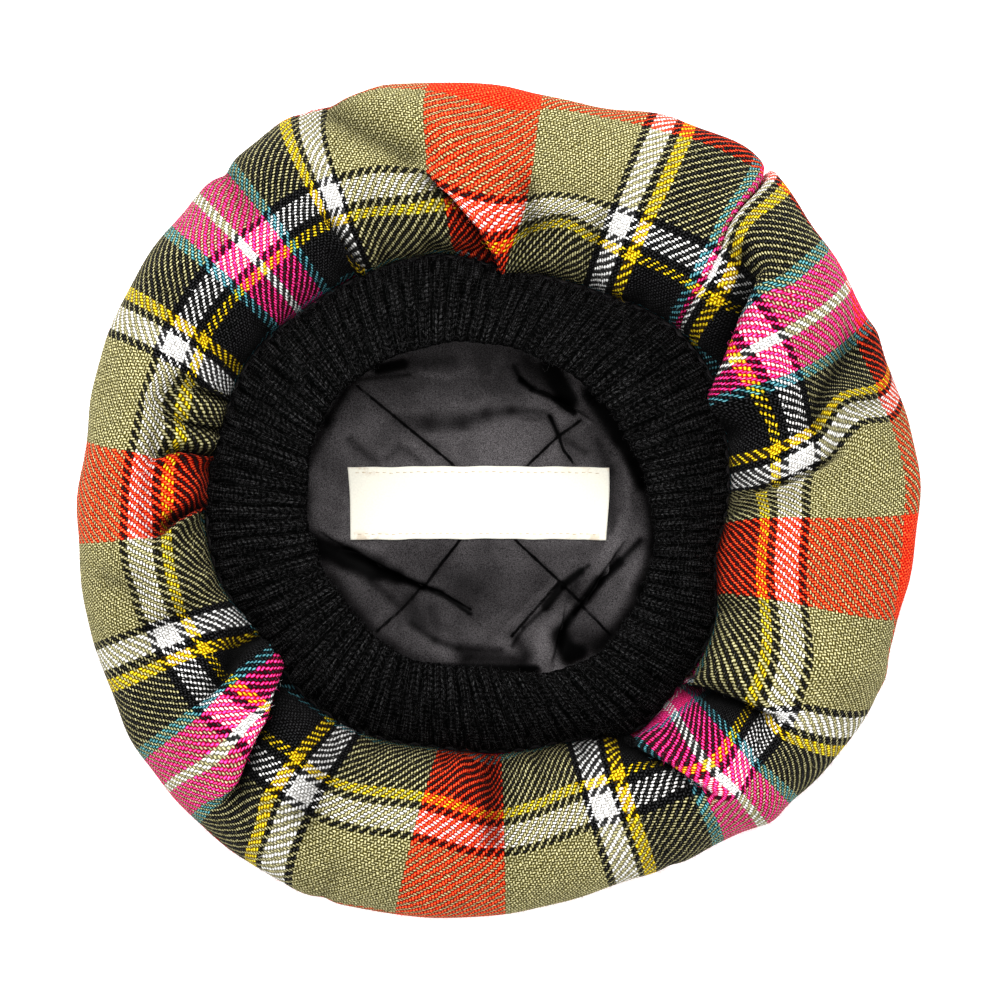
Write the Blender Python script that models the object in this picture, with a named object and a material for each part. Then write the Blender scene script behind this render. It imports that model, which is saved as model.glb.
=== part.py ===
"""Tam o'shanter, lying crown down with its opening up.

A round cloth top, a straight tartan strip gathered into a rib-knit band, a quilted
lining and a sewn label. Metres, +Z up, origin under the middle of the crown.
"""
import math

import bmesh
import bpy
from mathutils import Vector

MM = 0.001

# Walls and clearances.
CLOTH = 1.8 * MM
TOP_CLOTH = 2.0 * MM
KNIT = 4.5 * MM
PADDING = 2.4 * MM
TAPE = 0.9 * MM
GAP = 0.3 * MM

# Heights above the surface that the crown lies on.
FOOT_Z = 0.4 * MM
EQUATOR_Z = 21.0 * MM
SEAM_Z = 25.0 * MM
BAND_TOP_Z = 57.5 * MM
LINING_FLOOR_Z = 7.2 * MM

# The foot of the strip, where it meets the round top, lies this far inside its outline.
FOOT_INSET = 10.0 * MM

# Radii in millimetres by angle, anticlockwise from +X, about the middle of the crown:
# where the strip is sewn to the band, where it puffs highest, and its outline. The last
# column is the height of the puff.
#   angle  seam   crest  outline  height
SECTIONS = (
    (0, 76.7, 96.4, 140.8, 45.5),
    (15, 78.6, 102.0, 139.2, 44.5),
    (30, 82.3, 102.0, 138.3, 46.5),
    (45, 82.3, 104.6, 141.3, 48.0),
    (55, 80.0, 101.5, 144.7, 49.0),
    (65, 77.6, 99.8, 140.7, 46.5),
    (80, 77.0, 98.0, 136.5, 45.0),
    (90, 78.6, 96.0, 139.2, 46.0),
    (105, 85.5, 107.7, 144.2, 48.0),
    (120, 88.6, 115.4, 147.2, 46.0),
    (135, 91.8, 117.4, 144.2, 47.0),
    (150, 96.4, 119.0, 143.9, 48.0),
    (165, 97.0, 117.0, 141.3, 46.0),
    (180, 98.6, 119.0, 141.3, 47.5),
    (195, 98.0, 120.0, 143.9, 47.5),
    (210, 92.3, 117.0, 146.4, 46.0),
    (225, 92.8, 115.4, 148.1, 48.0),
    (240, 90.2, 115.4, 147.6, 46.5),
    (255, 85.5, 109.2, 143.7, 47.5),
    (270, 84.4, 111.2, 138.7, 46.5),
    (285, 83.9, 106.6, 135.3, 45.0),
    (300, 89.6, 108.7, 136.0, 46.5),
    (315, 86.5, 115.9, 140.7, 48.0),
    (330, 82.9, 110.8, 141.8, 47.0),
    (345, 75.0, 98.0, 139.7, 46.0),
)

# The band's opening: its middle, and its radius in millimetres by angle.
OPENING_MIDDLE = Vector((-6.8 * MM, -2.0 * MM))
#          angle  radius
OPENING = (
    (0, 56.3),
    (30, 52.6),
    (60, 52.4),
    (90, 53.1),
    (120, 56.3),
    (150, 58.2),
    (180, 55.8),
    (210, 53.8),
    (240, 53.8),
    (270, 52.5),
    (300, 59.3),
    (315, 61.3),
    (330, 60.0),
    (345, 58.4),
)

# Folds of the strip, as furrows (depth below zero) and ridges from one end to the other.
#   angle  radius  angle  radius  half width  depth, radii and the last two in millimetres
STRIP_FOLDS = (
    (171.5, 113, 170.5, 97, 5.5, -4.5),
    (159.8, 112, 159.0, 98, 6.0, -4.0),
    (122.5, 114, 121.0, 90, 7.0, -7.0),
    (102.5, 112, 92.0, 82, 6.5, -7.0),
    (110.0, 114, 106.0, 94, 8.0, 2.5),
    (84.0, 104, 82.5, 88, 6.0, -3.5),
    (74.0, 104, 74.0, 84, 9.0, 2.0),
    (51.0, 138, 46.5, 98, 7.0, 2.5),
    (45.0, 114, 32.0, 84, 7.5, -9.0),
    (33.0, 118, 22.0, 90, 8.0, 2.5),
    (22.0, 128, 15.0, 104, 9.0, -3.5),
    (10.0, 130, 2.0, 100, 9.0, 2.0),
    (322.5, 130, 319.6, 96, 8.0, -8.0),
    (310.0, 128, 309.0, 94, 8.0, 2.5),
    (303.5, 116, 298.0, 92, 7.0, -6.0),
    (269.0, 112, 268.0, 88, 7.0, -4.0),
    (238.0, 124, 236.0, 96, 8.0, -3.0),
    (227.3, 124, 219.0, 90, 7.5, -7.0),
    (208.0, 114, 208.0, 94, 7.0, -6.0),
    (193.0, 116, 192.0, 100, 8.0, 2.5),
    (184.5, 116, 181.7, 100, 6.0, -5.0),
)

# The knit band: ribs all round, two columns of points for each rib.
RIBS = 92
RIB_DEPTH = 0.9 * MM

# Quilting of the lining: diamonds along the two diagonals.
QUILT_PITCH = 33.0 * MM
QUILT_MIDDLE = Vector((-3.4 * MM, -0.7 * MM))
QUILT_RISE = 3.0 * MM

# The lining's side, from its sewn edge to its floor: offset from the seam and height of
# its inner face, then of its outer face.
#   offset  height  offset  height, in millimetres
LINING_SIDE = (
    (-3.8, 24.7, -1.4, 24.7),
    (-1.7, 20.2, 0.5, 21.2),
    (4.0, 15.0, 5.8, 16.6),
    (5.2, 10.0, 7.6, 9.6),
    (-2.0, 7.4, -0.8, 5.0),
)
# The floor's rings, as shares of the way out to the side.
LINING_RINGS = (0.84, 0.7, 0.56, 0.43, 0.31, 0.2, 0.1)
LINING_COLUMNS = 52

# Creases of the lining's floor, from one end to the other.
#       x      y     x      y   half width  depth, all in millimetres
LINING_FOLDS = (
    (-64.0, -10.6, -27.8, -28.3, 4.5, -2.4),
    (30.4, -32.6, 43.0, -13.2, 4.5, -2.4),
    (5.0, 45.0, 25.3, 30.7, 6.0, -2.4),
    (22.8, -33.4, 20.2, -49.4, 4.5, -2.2),
    (-52.0, 24.0, -41.0, 14.0, 5.0, -1.2),
    (-27.0, 22.5, 12.0, 25.5, 5.0, -1.2),
    (-30.0, 37.0, 0.0, 45.0, 8.0, 1.8),
    (40.0, 8.0, 44.0, -8.0, 5.0, 1.8),
)

# The label: middle and size on the floor of the lining, on a level bed.
LABEL_MIDDLE = Vector((-6.8 * MM, -0.8 * MM))
LABEL_LENGTH = 87.6 * MM
LABEL_WIDTH = 24.6 * MM
LABEL_BED_Z = 9.2 * MM
LABEL_BED_MARGIN = 7.0 * MM

STRIP_COLUMNS = 120
TOP_COLUMNS = 60


def clear_scene():
    for item in list(bpy.data.objects):
        bpy.data.objects.remove(item, do_unlink=True)


def smoothstep(low, high, value):
    share = min(max((value - low) / (high - low), 0.0), 1.0)
    return share * share * (3.0 - 2.0 * share)


def around(rows, column, angle):
    """A smooth closed curve through one column of a table, read at an angle in degrees."""
    angle = angle % 360.0
    count = len(rows)
    after = next((i for i, row in enumerate(rows) if row[0] > angle), 0)
    indices = [(after + step) % count for step in (-2, -1, 0, 1)]
    values = [rows[i][column] for i in indices]
    angles = [rows[i][0] for i in indices]
    for i in range(1, 4):
        while angles[i] < angles[i - 1]:
            angles[i] += 360.0
    if angle < angles[1]:
        angle += 360.0
    span = angles[2] - angles[1]
    share = (angle - angles[1]) / span
    slope_in = (values[2] - values[0]) / (angles[2] - angles[0]) * span
    slope_out = (values[3] - values[1]) / (angles[3] - angles[1]) * span
    square, cube = share ** 2, share ** 3
    return (
        values[1] * (2 * cube - 3 * square + 1)
        + slope_in * (cube - 2 * square + share)
        + values[2] * (3 * square - 2 * cube)
        + slope_out * (cube - square)
    ) * MM


def direction(angle):
    return Vector((math.cos(math.radians(angle)), math.sin(math.radians(angle))))


def polar(angle, radius):
    return direction(angle) * radius * MM


def segment_bump(point, start, end, half_width, height):
    """The height of a soft fold at a point of the plan, highest on the line start to end."""
    along = end - start
    share = min(max((point - start).dot(along) / along.length_squared, 0.0), 1.0)
    distance = (point - start - along * share).length
    return height * math.exp(-((distance / half_width) ** 2))


def strip_fold(point):
    return sum(
        segment_bump(point, polar(a1, r1), polar(a2, r2), width * MM, depth * MM)
        for a1, r1, a2, r2, width, depth in STRIP_FOLDS
    )


def strip_profile(angle):
    """Points of the strip at one angle, as (radius, height, normal), seam first."""
    seam, crest, outline, puff = (around(SECTIONS, column, angle) for column in (1, 2, 3, 4))
    foot = outline - FOOT_INSET
    quarters = (
        # (centre, radii, first angle, last angle, steps), angles from the section's +r
        ((crest, SEAM_Z), (crest - seam, puff - SEAM_Z), 180, 90, 3),
        ((crest, EQUATOR_Z), (outline - crest, puff - EQUATOR_Z), 90, 0, 4),
        ((foot, EQUATOR_Z), (outline - foot, EQUATOR_Z - FOOT_Z), 0, -90, 3),
    )
    points = []
    for (r0, z0), (across, up), first, last, steps in quarters:
        for step in range(1 if points else 0, steps + 1):
            turn = math.radians(first + (last - first) * step / steps)
            normal = Vector((math.cos(turn) / across, math.sin(turn) / up)).normalized()
            points.append((r0 + across * math.cos(turn), z0 + up * math.sin(turn), normal))
    return points


def strip_points(angle, depth):
    """The folded strip at one angle and depth under its outer face, band to foot."""
    profile = strip_profile(angle)
    ends = len(profile) - 1
    points = []
    for index, (radius, height, normal) in enumerate(profile):
        fade = smoothstep(0.0, 2.0, index) * smoothstep(0.0, 3.0, ends - index)
        offset = strip_fold(direction(angle) * radius) * fade - depth
        flat = direction(angle) * (radius + normal.x * offset)
        points.append(Vector((flat.x, flat.y, height + normal.y * offset)))
    return points


def lining_floor(point):
    """The height of the lining's floor at a point of the plan."""
    offset = point - QUILT_MIDDLE
    one = math.sin(math.pi * (offset.x + offset.y) / math.sqrt(2.0) / QUILT_PITCH)
    other = math.sin(math.pi * (offset.x - offset.y) / math.sqrt(2.0) / QUILT_PITCH)
    height = LINING_FLOOR_Z + QUILT_RISE * math.sqrt(abs(one * other))
    for x1, y1, x2, y2, width, depth in LINING_FOLDS:
        ends = Vector((x1, y1)) * MM, Vector((x2, y2)) * MM
        height += segment_bump(point, *ends, width * MM, depth * MM)
    height = max(height, TOP_CLOTH + GAP + PADDING)
    from_label = point - LABEL_MIDDLE
    outside = max(
        abs(from_label.x) - LABEL_LENGTH / 2,
        abs(from_label.y) - LABEL_WIDTH / 2,
    )
    loose = smoothstep(GAP, LABEL_BED_MARGIN, outside)
    return LABEL_BED_Z + (height - LABEL_BED_Z) * loose


def material(name, colour, roughness):
    finish = bpy.data.materials.new(name)
    finish.use_nodes = True
    shader = finish.node_tree.nodes["Principled BSDF"]
    shader.inputs["Base Color"].default_value = (*colour, 1.0)
    shader.inputs["Roughness"].default_value = roughness
    shader.inputs["Metallic"].default_value = 0.0
    finish.diffuse_color = (*colour, 1.0)
    return finish


def add_object(name, mesh_maker, finish):
    mesh = bpy.data.meshes.new(name)
    work = bmesh.new()
    mesh_maker(work)
    work.to_mesh(mesh)
    work.free()
    mesh.materials.append(finish)
    mesh.shade_smooth()
    item = bpy.data.objects.new(name, mesh)
    bpy.context.collection.objects.link(item)
    return item


def add_ring(work, points):
    return [work.verts.new(point) for point in points]


def add_rings(work, columns):
    """Rings of points from columns of points that all have the same rows."""
    return [add_ring(work, row) for row in zip(*columns)]


def join_rings(work, rings):
    """Faces between each ring of points and the next; a ring is closed round the cap."""
    count = len(rings[0])
    for ring, following in zip(rings, rings[1:]):
        for index in range(count):
            after = (index + 1) % count
            work.faces.new((ring[index], ring[after], following[after], following[index]))


def make_crown_side(work):
    angles = [360.0 * index / STRIP_COLUMNS for index in range(STRIP_COLUMNS)]
    outer = add_rings(work, [strip_points(angle, 0.0) for angle in angles])
    inner = add_rings(work, [strip_points(angle, CLOTH) for angle in angles])
    join_rings(work, [inner[0], *outer, *inner[::-1]])
    bmesh.ops.recalc_face_normals(work, faces=work.faces)


def make_crown_top(work):
    step = 360.0 / TOP_COLUMNS
    rim = [
        direction(step * index) * (around(SECTIONS, 3, step * index) - FOOT_INSET - GAP)
        for index in range(TOP_COLUMNS)
    ]
    floor = work.faces.new(add_ring(work, [point.to_3d() for point in rim]))
    grown = bmesh.ops.extrude_face_region(work, geom=[floor])
    raised = [part for part in grown["geom"] if isinstance(part, bmesh.types.BMVert)]
    bmesh.ops.translate(work, verts=raised, vec=(0.0, 0.0, TOP_CLOTH))
    bmesh.ops.recalc_face_normals(work, faces=work.faces)


def band_section(angle, rib):
    """The band's section at one angle as a loop of points: outer face, fold, inner face."""
    seam = direction(angle) * (around(SECTIONS, 1, angle) - GAP - KNIT / 2)
    edge = OPENING_MIDDLE + direction(angle) * (around(OPENING, 1, angle) + KNIT / 2)
    run = (edge - seam).length
    inward = (edge - seam).normalized()
    rise = BAND_TOP_Z - SEAM_Z
    half = KNIT / 2 - rib

    def at(turn, offset):
        """A point off the band's middle, which is a quarter of an ellipse."""
        normal = Vector((-math.cos(turn) * rise, math.sin(turn) * run)).normalized()
        flat = seam + inward * (run * (1.0 - math.cos(turn)) + normal.x * offset)
        return Vector((flat.x, flat.y, SEAM_Z + rise * math.sin(turn) + normal.y * offset))

    quarter = math.pi / 2
    outer = [at(quarter * share, half) for share in (0.0, 0.25, 0.5, 0.75, 1.0)]
    fold = at(quarter, 0.0)
    fold.xy += inward * half
    inner = [at(quarter * share, -half) for share in (1.0, 0.68, 0.34, 0.0)]
    return outer + [fold] + inner


def make_rib_band(work):
    count = 2 * RIBS
    columns = [
        band_section(360.0 * index / count, RIB_DEPTH * (index % 2)) for index in range(count)
    ]
    rings = add_rings(work, columns)
    join_rings(work, [rings[-1], *rings])
    bmesh.ops.recalc_face_normals(work, faces=work.faces)


def lining_points(angle):
    """The lining at one angle, as its inner points and its outer points, edge to middle."""
    inner, outer = [], []
    for offset_in, height_in, offset_out, height_out in LINING_SIDE:
        for points, offset, height in (
            (inner, offset_in, height_in),
            (outer, offset_out, height_out),
        ):
            flat = direction(angle) * (around(SECTIONS, 1, angle) + offset * MM)
            points.append(Vector((flat.x, flat.y, height * MM)))
    rim = inner[-1].xy
    for share in LINING_RINGS:
        flat = OPENING_MIDDLE + (rim - OPENING_MIDDLE) * share
        height = lining_floor(flat)
        inner.append(Vector((flat.x, flat.y, height)))
        outer.append(Vector((flat.x, flat.y, height - PADDING)))
    return inner, outer


def make_lining(work):
    columns = [
        lining_points(360.0 * index / LINING_COLUMNS) for index in range(LINING_COLUMNS)
    ]
    inner = add_rings(work, [column[0] for column in columns])
    outer = add_rings(work, [column[1] for column in columns])
    join_rings(work, [*inner[::-1], *outer])
    middle_z = lining_floor(OPENING_MIDDLE)
    for ring, height in ((inner[-1], middle_z), (outer[-1], middle_z - PADDING)):
        middle = work.verts.new((*OPENING_MIDDLE, height))
        for index in range(LINING_COLUMNS):
            work.faces.new((ring[index], ring[(index + 1) % LINING_COLUMNS], middle))
    bmesh.ops.recalc_face_normals(work, faces=work.faces)


def make_label(work):
    bmesh.ops.create_cube(work, size=1.0)
    bmesh.ops.scale(work, verts=work.verts, vec=(LABEL_LENGTH, LABEL_WIDTH, TAPE))
    lift = LABEL_BED_Z + GAP + TAPE / 2
    bmesh.ops.translate(work, verts=work.verts, vec=(*LABEL_MIDDLE, lift))


def build():
    clear_scene()
    tartan = material("tartan_strip", (0.42, 0.27, 0.13), 0.9)
    top_tartan = material("tartan_top", (0.4, 0.26, 0.14), 0.9)
    knit = material("black_knit", (0.02, 0.02, 0.02), 0.95)
    satin = material("grey_satin", (0.06, 0.055, 0.058), 0.5)
    woven = material("cream_tape", (0.93, 0.9, 0.8), 0.8)

    add_object("crown_top", make_crown_top, top_tartan)
    add_object("crown_side", make_crown_side, tartan)
    add_object("rib_band", make_rib_band, knit)
    add_object("lining", make_lining, satin)
    add_object("label", make_label, woven)


build()
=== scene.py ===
"""Tam o'shanter lying crown down: tartan cloth, rib-knit band, quilted lining and label.

Each operator makes one piece or group of pieces over the packed model, which gives the
sizes. Lengths in the tables are in millimetres, angles in degrees anticlockwise from +X.
"""
import math

import bmesh
import bpy
import numpy as np
from bpy.props import FloatProperty, FloatVectorProperty, IntProperty, PointerProperty
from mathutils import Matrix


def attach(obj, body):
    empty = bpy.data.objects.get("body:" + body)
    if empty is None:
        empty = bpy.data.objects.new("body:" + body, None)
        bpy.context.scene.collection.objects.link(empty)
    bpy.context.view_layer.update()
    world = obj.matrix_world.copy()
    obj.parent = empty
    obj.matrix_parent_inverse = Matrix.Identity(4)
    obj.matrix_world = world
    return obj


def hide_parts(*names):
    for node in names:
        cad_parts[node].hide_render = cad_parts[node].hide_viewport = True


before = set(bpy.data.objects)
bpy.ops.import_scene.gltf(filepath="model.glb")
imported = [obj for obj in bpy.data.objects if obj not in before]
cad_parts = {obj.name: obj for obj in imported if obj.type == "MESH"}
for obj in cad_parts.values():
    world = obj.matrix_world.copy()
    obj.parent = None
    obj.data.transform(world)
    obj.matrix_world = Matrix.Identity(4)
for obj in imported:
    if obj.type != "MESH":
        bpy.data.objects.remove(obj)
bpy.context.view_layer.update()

bl_info = {
    "name": "Tam o'shanter",
    "version": (1, 0, 0),
    "blender": (4, 5, 0),
    "location": "3D View > Sidebar > Tam",
    "description": "Sews a tartan tam o'shanter with a rib-knit band and a quilted lining",
    "category": "Add Mesh",
}

BODY = "root"
MM = 0.001

# ---------------------------------------------------------------- the cap's main sizes

# Heights of the strip's foot, its widest line, its seam with the band, and the band's edge.
FOOT_Z = 0.4
EQUATOR_Z = 21.0
SEAM_Z = 25.0
BAND_TOP_Z = 57.5
# How far the foot lies inside the outline, and the gap left where pieces meet.
FOOT_INSET = 10.0
GAP = 0.3

# Where the strip is sewn to the band, where it puffs highest, its outline, its height.
#   angle  seam   crest  outline  height
SECTIONS = (
    (0, 76.7, 96.4, 140.8, 45.5),
    (15, 78.6, 102.0, 139.2, 44.5),
    (30, 82.3, 104.6, 138.3, 46.5),
    (45, 82.3, 104.6, 141.3, 48.0),
    (55, 80.0, 101.5, 144.7, 49.0),
    (65, 77.6, 99.8, 140.7, 46.5),
    (80, 77.0, 98.0, 136.5, 45.0),
    (90, 78.6, 96.0, 139.2, 46.0),
    (105, 85.5, 107.7, 144.2, 48.0),
    (120, 88.6, 115.4, 147.2, 46.0),
    (135, 91.8, 117.4, 144.2, 47.0),
    (150, 96.4, 119.0, 143.9, 48.0),
    (165, 97.0, 117.0, 141.3, 46.0),
    (180, 98.6, 119.0, 141.3, 47.5),
    (195, 98.0, 120.0, 143.9, 47.5),
    (210, 92.3, 117.0, 146.4, 46.0),
    (225, 92.8, 115.4, 148.1, 48.0),
    (240, 90.2, 115.4, 147.6, 46.5),
    (255, 85.5, 109.2, 143.7, 47.5),
    (270, 84.4, 111.2, 138.7, 46.5),
    (285, 83.9, 106.6, 135.3, 45.0),
    (300, 89.6, 108.7, 136.0, 46.5),
    (315, 86.5, 115.9, 140.7, 48.0),
    (330, 82.9, 110.8, 141.8, 47.0),
    (345, 75.0, 98.0, 139.7, 46.0),
)
SEAM, CREST, OUTLINE, PUFF = 1, 2, 3, 4

# The band's opening: its middle, and its radius by angle.
OPENING_MIDDLE = (-6.8, -2.0)
OPENING = (
    (0, 56.3),
    (30, 52.6),
    (60, 52.4),
    (90, 53.1),
    (120, 56.3),
    (150, 58.2),
    (180, 55.8),
    (210, 53.8),
    (240, 53.8),
    (270, 52.5),
    (300, 59.3),
    (315, 61.3),
    (330, 60.0),
    (345, 58.4),
)

# ---------------------------------------------------------------- the tartan strip

# How the straight strip is shared out round the cap: a place along its length, and the
# angle where it lies at the outline, at the crest and at the band. The join is at the ends.
COURSES = (
    (-49.5, 50.9, 48.2, 43.8),
    (-45.6, 50.4, 48.0, 43.6),
    (-40.6, 47.6, 45.4, 39.8),
    (-15.3, 38.4, 36.0, 31.8),
    (0.0, 32.3, 29.2, 25.4),
    (15.3, 26.0, 22.4, 23.2),
    (40.6, 19.7, 11.2, 9.2),
    (49.0, 16.6, 7.6, 4.0),
    (90.7, -1.4, -3.2, -6.0),
    (124.3, -15.9, -19.0, -23.4),
    (161.0, -28.9, -35.0, -43.3),
    (166.0, -31.1, -37.2, -46.0),
    (174.4, -35.5, -40.5, -47.0),
    (199.7, -45.3, -45.5, -49.0),
    (215.0, -51.1, -51.1, -52.2),
    (230.3, -57.7, -56.5, -60.5),
    (255.6, -68.1, -66.9, -65.8),
    (264.0, -71.5, -71.8, -72.1),
    (305.7, -89.4, -89.4, -90.0),
    (339.3, -104.1, -104.4, -103.7),
    (381.0, -120.0, -123.8, -123.5),
    (389.4, -124.0, -127.5, -127.5),
    (414.7, -133.6, -134.3, -142.0),
    (430.0, -139.0, -139.5, -144.5),
    (445.3, -144.8, -146.0, -150.0),
    (470.6, -154.9, -153.8, -153.5),
    (479.0, -158.4, -158.4, -156.9),
    (520.7, -174.5, -174.5, -177.7),
    (554.3, -188.4, -187.5, -188.7),
    (596.0, -205.4, -205.3, -202.0),
    (604.4, -209.1, -208.7, -206.2),
    (629.7, -219.2, -218.9, -217.5),
    (645.0, -225.0, -224.7, -223.0),
    (660.3, -231.1, -231.1, -230.5),
    (685.6, -240.9, -239.0, -238.0),
    (694.0, -244.6, -240.9, -239.4),
    (735.7, -260.8, -257.6, -259.0),
    (769.3, -275.8, -274.9, -271.2),
    (811.0, -293.5, -293.1, -294.2),
    (819.4, -296.5, -297.7, -300.0),
    (844.7, -306.3, -310.1, -314.4),
    (849.5, -308.7, -312.1, -316.7),
)
STRIP_LENGTH = COURSES[-1][0] - COURSES[0][0]
# Courses are smoothed over this length.
COURSE_SMOOTHING = 7.0
# The crest lies on the white stripe, this far from the strip's sewn edge.
CREST_COURSE = 36.0

# Where the strip is drawn together: the middle and half width of that part, in degrees, and
# how much more cloth lies there inside the crest, and outside it.
DRAWN = (
    (84.0, 26.0, 0.0, 0.14),
    (21.0, 9.0, 0.0, 0.38),
    (-52.0, 7.0, 0.5, 0.0),
)

# Tucks where one lobe of the strip hangs over the next: the edge of the upper lobe, as angle
# and radius from the crest to the band, the side on top (+1 clockwise of the line), how much
# cloth it takes up, its half width, and how far it lifts and sinks.
TUCKS = (
    (
        ((104.3, 114.0), (103.3, 110.1), (99.2, 100.8), (95.2, 91.5), (90.0, 79.1)),
        1, 1.1, 17.0, 4.0, 4.5,
    ),
    (
        (
            (41.4, 118.5), (40.8, 112.2), (39.0, 105.1), (37.6, 99.6), (34.6, 93.6),
            (31.0, 87.4), (25.0, 80.1),
        ),
        1, 1.7, 19.5, 4.5, 9.0,
    ),
    (
        ((306.2, 118.0), (304.6, 111.2), (302.6, 103.4), (299.3, 95.6), (296.5, 86.0)),
        -1, 1.2, 13.0, 3.0, 4.5,
    ),
    (
        ((321.2, 119.5), (321.4, 115.0), (320.3, 104.0), (318.3, 95.4), (314.0, 85.0)),
        -1, 1.6, 19.5, 3.0, 6.5,
    ),
    (
        (
            (228.5, 137.0), (227.1, 124.5), (226.3, 120.1), (224.5, 108.3), (220.7, 99.5),
            (218.0, 92.8), (214.5, 84.0),
        ),
        1, 1.6, 19.5, 4.5, 5.0,
    ),
    (((174.6, 118.2), (172.6, 113.1), (171.3, 109.0), (171.3, 96.0)), -1, 1.4, 8.5, 3.8, 5.0),
    (((165.9, 114.0), (166.0, 108.0), (165.2, 95.0)), 1, 1.2, 7.0, 2.8, 4.0),
    (((160.0, 113.0), (159.5, 104.0), (159.8, 95.0)), 1, 0.9, 8.0, 2.4, 4.0),
    (((122.0, 113.0), (121.5, 105.0), (121.0, 90.0)), -1, 1.2, 10.0, 2.4, 4.0),
    (
        ((187.3, 118.0), (186.3, 115.0), (183.5, 108.0), (181.7, 101.9), (180.5, 97.0)),
        -1, 1.4, 12.0, 4.2, 5.5,
    ),
    (
        ((7.9, 118.0), (7.5, 116.2), (5.2, 105.5), (3.4, 96.2), (1.6, 85.0)),
        1, 0.8, 11.0, 2.6, 3.0,
    ),
    (((214.3, 121.3), (212.3, 109.0), (208.8, 98.6), (207.1, 88.5)), -1, 0.8, 13.0, 1.6, 6.5),
)
# A tuck fades in and out over this length at its ends. The shadow under its lip reaches this
# share of its half width; the lip's own edge is this dark, over this share.
TUCK_FADE = 12.0
TUCK_SHADOW = 0.18
LIP_SHADE = 0.5
LIP_REACH = 0.05

# Plain folds of the strip: ends as angle and radius, half width, and height (furrows < 0).
FOLDS = (
    (110.0, 114.0, 106.0, 94.0, 8.0, 3.0),
    (84.8, 104.0, 82.5, 88.0, 4.5, -4.5),
    (90.0, 97.0, 86.5, 95.0, 5.0, 2.2),
    (81.0, 98.0, 72.0, 99.0, 6.0, 3.0),
    (113.5, 143.0, 104.6, 118.0, 5.5, -4.0),
    (106.0, 138.0, 98.0, 120.0, 7.0, 1.8),
    (51.0, 130.0, 46.0, 96.0, 6.0, 2.4),
    (46.5, 113.0, 36.5, 91.0, 3.0, -3.0),
    (33.0, 118.0, 22.0, 90.0, 8.0, 3.5),
    (24.0, 130.0, 13.0, 108.0, 6.0, -4.5),
    (310.0, 128.0, 309.0, 94.0, 8.0, 2.0),
    (269.0, 112.0, 268.0, 86.0, 5.0, -5.5),
    (238.0, 124.0, 236.0, 96.0, 7.0, -4.0),
    (191.5, 134.0, 194.5, 124.0, 5.0, -2.4),
    (200.5, 124.0, 199.0, 108.0, 4.5, -3.6),
    (197.0, 110.0, 188.0, 112.0, 7.0, 3.2),
    (183.0, 118.0, 170.0, 115.5, 3.2, -3.4),
    (170.0, 115.5, 160.0, 113.0, 3.2, -3.0),
    (177.0, 106.0, 174.5, 106.0, 6.0, 2.6),
    (168.8, 107.0, 168.6, 99.0, 4.2, 3.0),
    (162.3, 107.0, 161.5, 98.0, 4.5, 3.0),
    (148.0, 132.0, 150.0, 112.0, 5.0, -2.0),
    (130.0, 148.0, 131.0, 125.0, 4.5, -2.8),
    (336.0, 146.0, 333.0, 120.0, 6.0, 1.8),
    (310.0, 146.0, 311.0, 128.0, 6.0, 1.4),
    (246.0, 150.0, 246.0, 135.0, 4.5, -1.6),
    (295.0, 146.0, 295.0, 128.0, 5.0, -1.3),
    (117.0, 148.0, 116.0, 130.0, 4.5, -1.3),
    (25.0, 146.0, 24.0, 134.0, 5.0, 1.3),
    (14.0, 132.0, 7.2, 112.0, 4.0, -2.6),
    (86.0, 102.5, 71.0, 108.5, 5.5, -1.4),
    (70.0, 99.0, 69.0, 85.0, 3.5, -2.6),
)

# Places where the strip is pushed aside: x, y, reach, and how far in x and in y.
PUSHES = (
    (-110.4, 33.1, 5.5, -3.2, 0.5),
    (-108.0, 23.0, 3.5, 0.9, 0.0),
    (21.0, 87.0, 8.0, 0.5, 4.2),
    (88.0, 86.0, 14.0, -3.7, 3.3),
    (103.0, 15.0, 9.0, 1.9, 2.0),
    (117.0, 27.0, 11.0, -2.8, 6.4),
    (124.0, 17.0, 8.0, -0.5, 3.2),
    (72.6, -90.3, 8.0, 3.9, -4.8),
    (-85.0, -77.0, 9.0, 0.6, 4.2),
)

# Shadow in the creases, from 0 to 1, drawn into the cloth's colour because real wool lets
# less light into a fold than the thin walls of a model do: the depth of a fold that is in
# full shadow, and the shade along the sewn edge and how far it reaches.
SHADE_FULL = 6.0
SEAM_SHADE = (0.7, 2.6)
# Painted shadow where more cloth lies hidden: angle, radius, angle, radius, half width, depth from
# 0 to 1.
STRIP_SHADES = (
    (46.0, 116.0, 41.2, 106.0, 2.6, 0.93),
    (41.2, 106.0, 38.2, 98.5, 4.0, 0.98),
    (38.2, 98.5, 35.0, 90.0, 3.4, 0.97),
    (318.3, 95.0, 319.7, 103.0, 4.2, 0.93),
    (319.7, 103.0, 320.6, 111.2, 3.2, 0.85),
    (162.4, 115.8, 165.6, 111.9, 1.8, 0.8),
    (165.2, 112.7, 164.2, 100.8, 1.5, 0.75),
    (171.8, 114.9, 171.1, 99.5, 1.8, 0.8),
    (185.1, 116.9, 183.6, 111.9, 1.5, 0.75),
    (183.6, 111.9, 181.3, 103.7, 1.5, 0.85),
    (208.7, 97.0, 210.0, 104.0, 2.2, 0.85),
    (158.6, 112.8, 159.2, 97.3, 1.6, 0.85),
)

# Small puckers along the sewn edge: length of each wave, height, and where it starts; how far
# in they die away, and how deep one in full shadow is.
PUCKERS = ((17.0, 1.3, 0.4), (11.3, 0.9, 2.1), (26.0, 1.3, 4.4))
PUCKER_FADE = 12.0
PUCKER_SHADE_FULL = 3.5
# A slight unevenness of the whole strip: length of each wave along and across it, where it
# starts, and height.
RIPPLES = ((41.0, 63.0, 0.3, 0.35), (29.0, -47.0, 1.9, 0.25), (67.0, 38.0, 4.0, 0.4))

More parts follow.
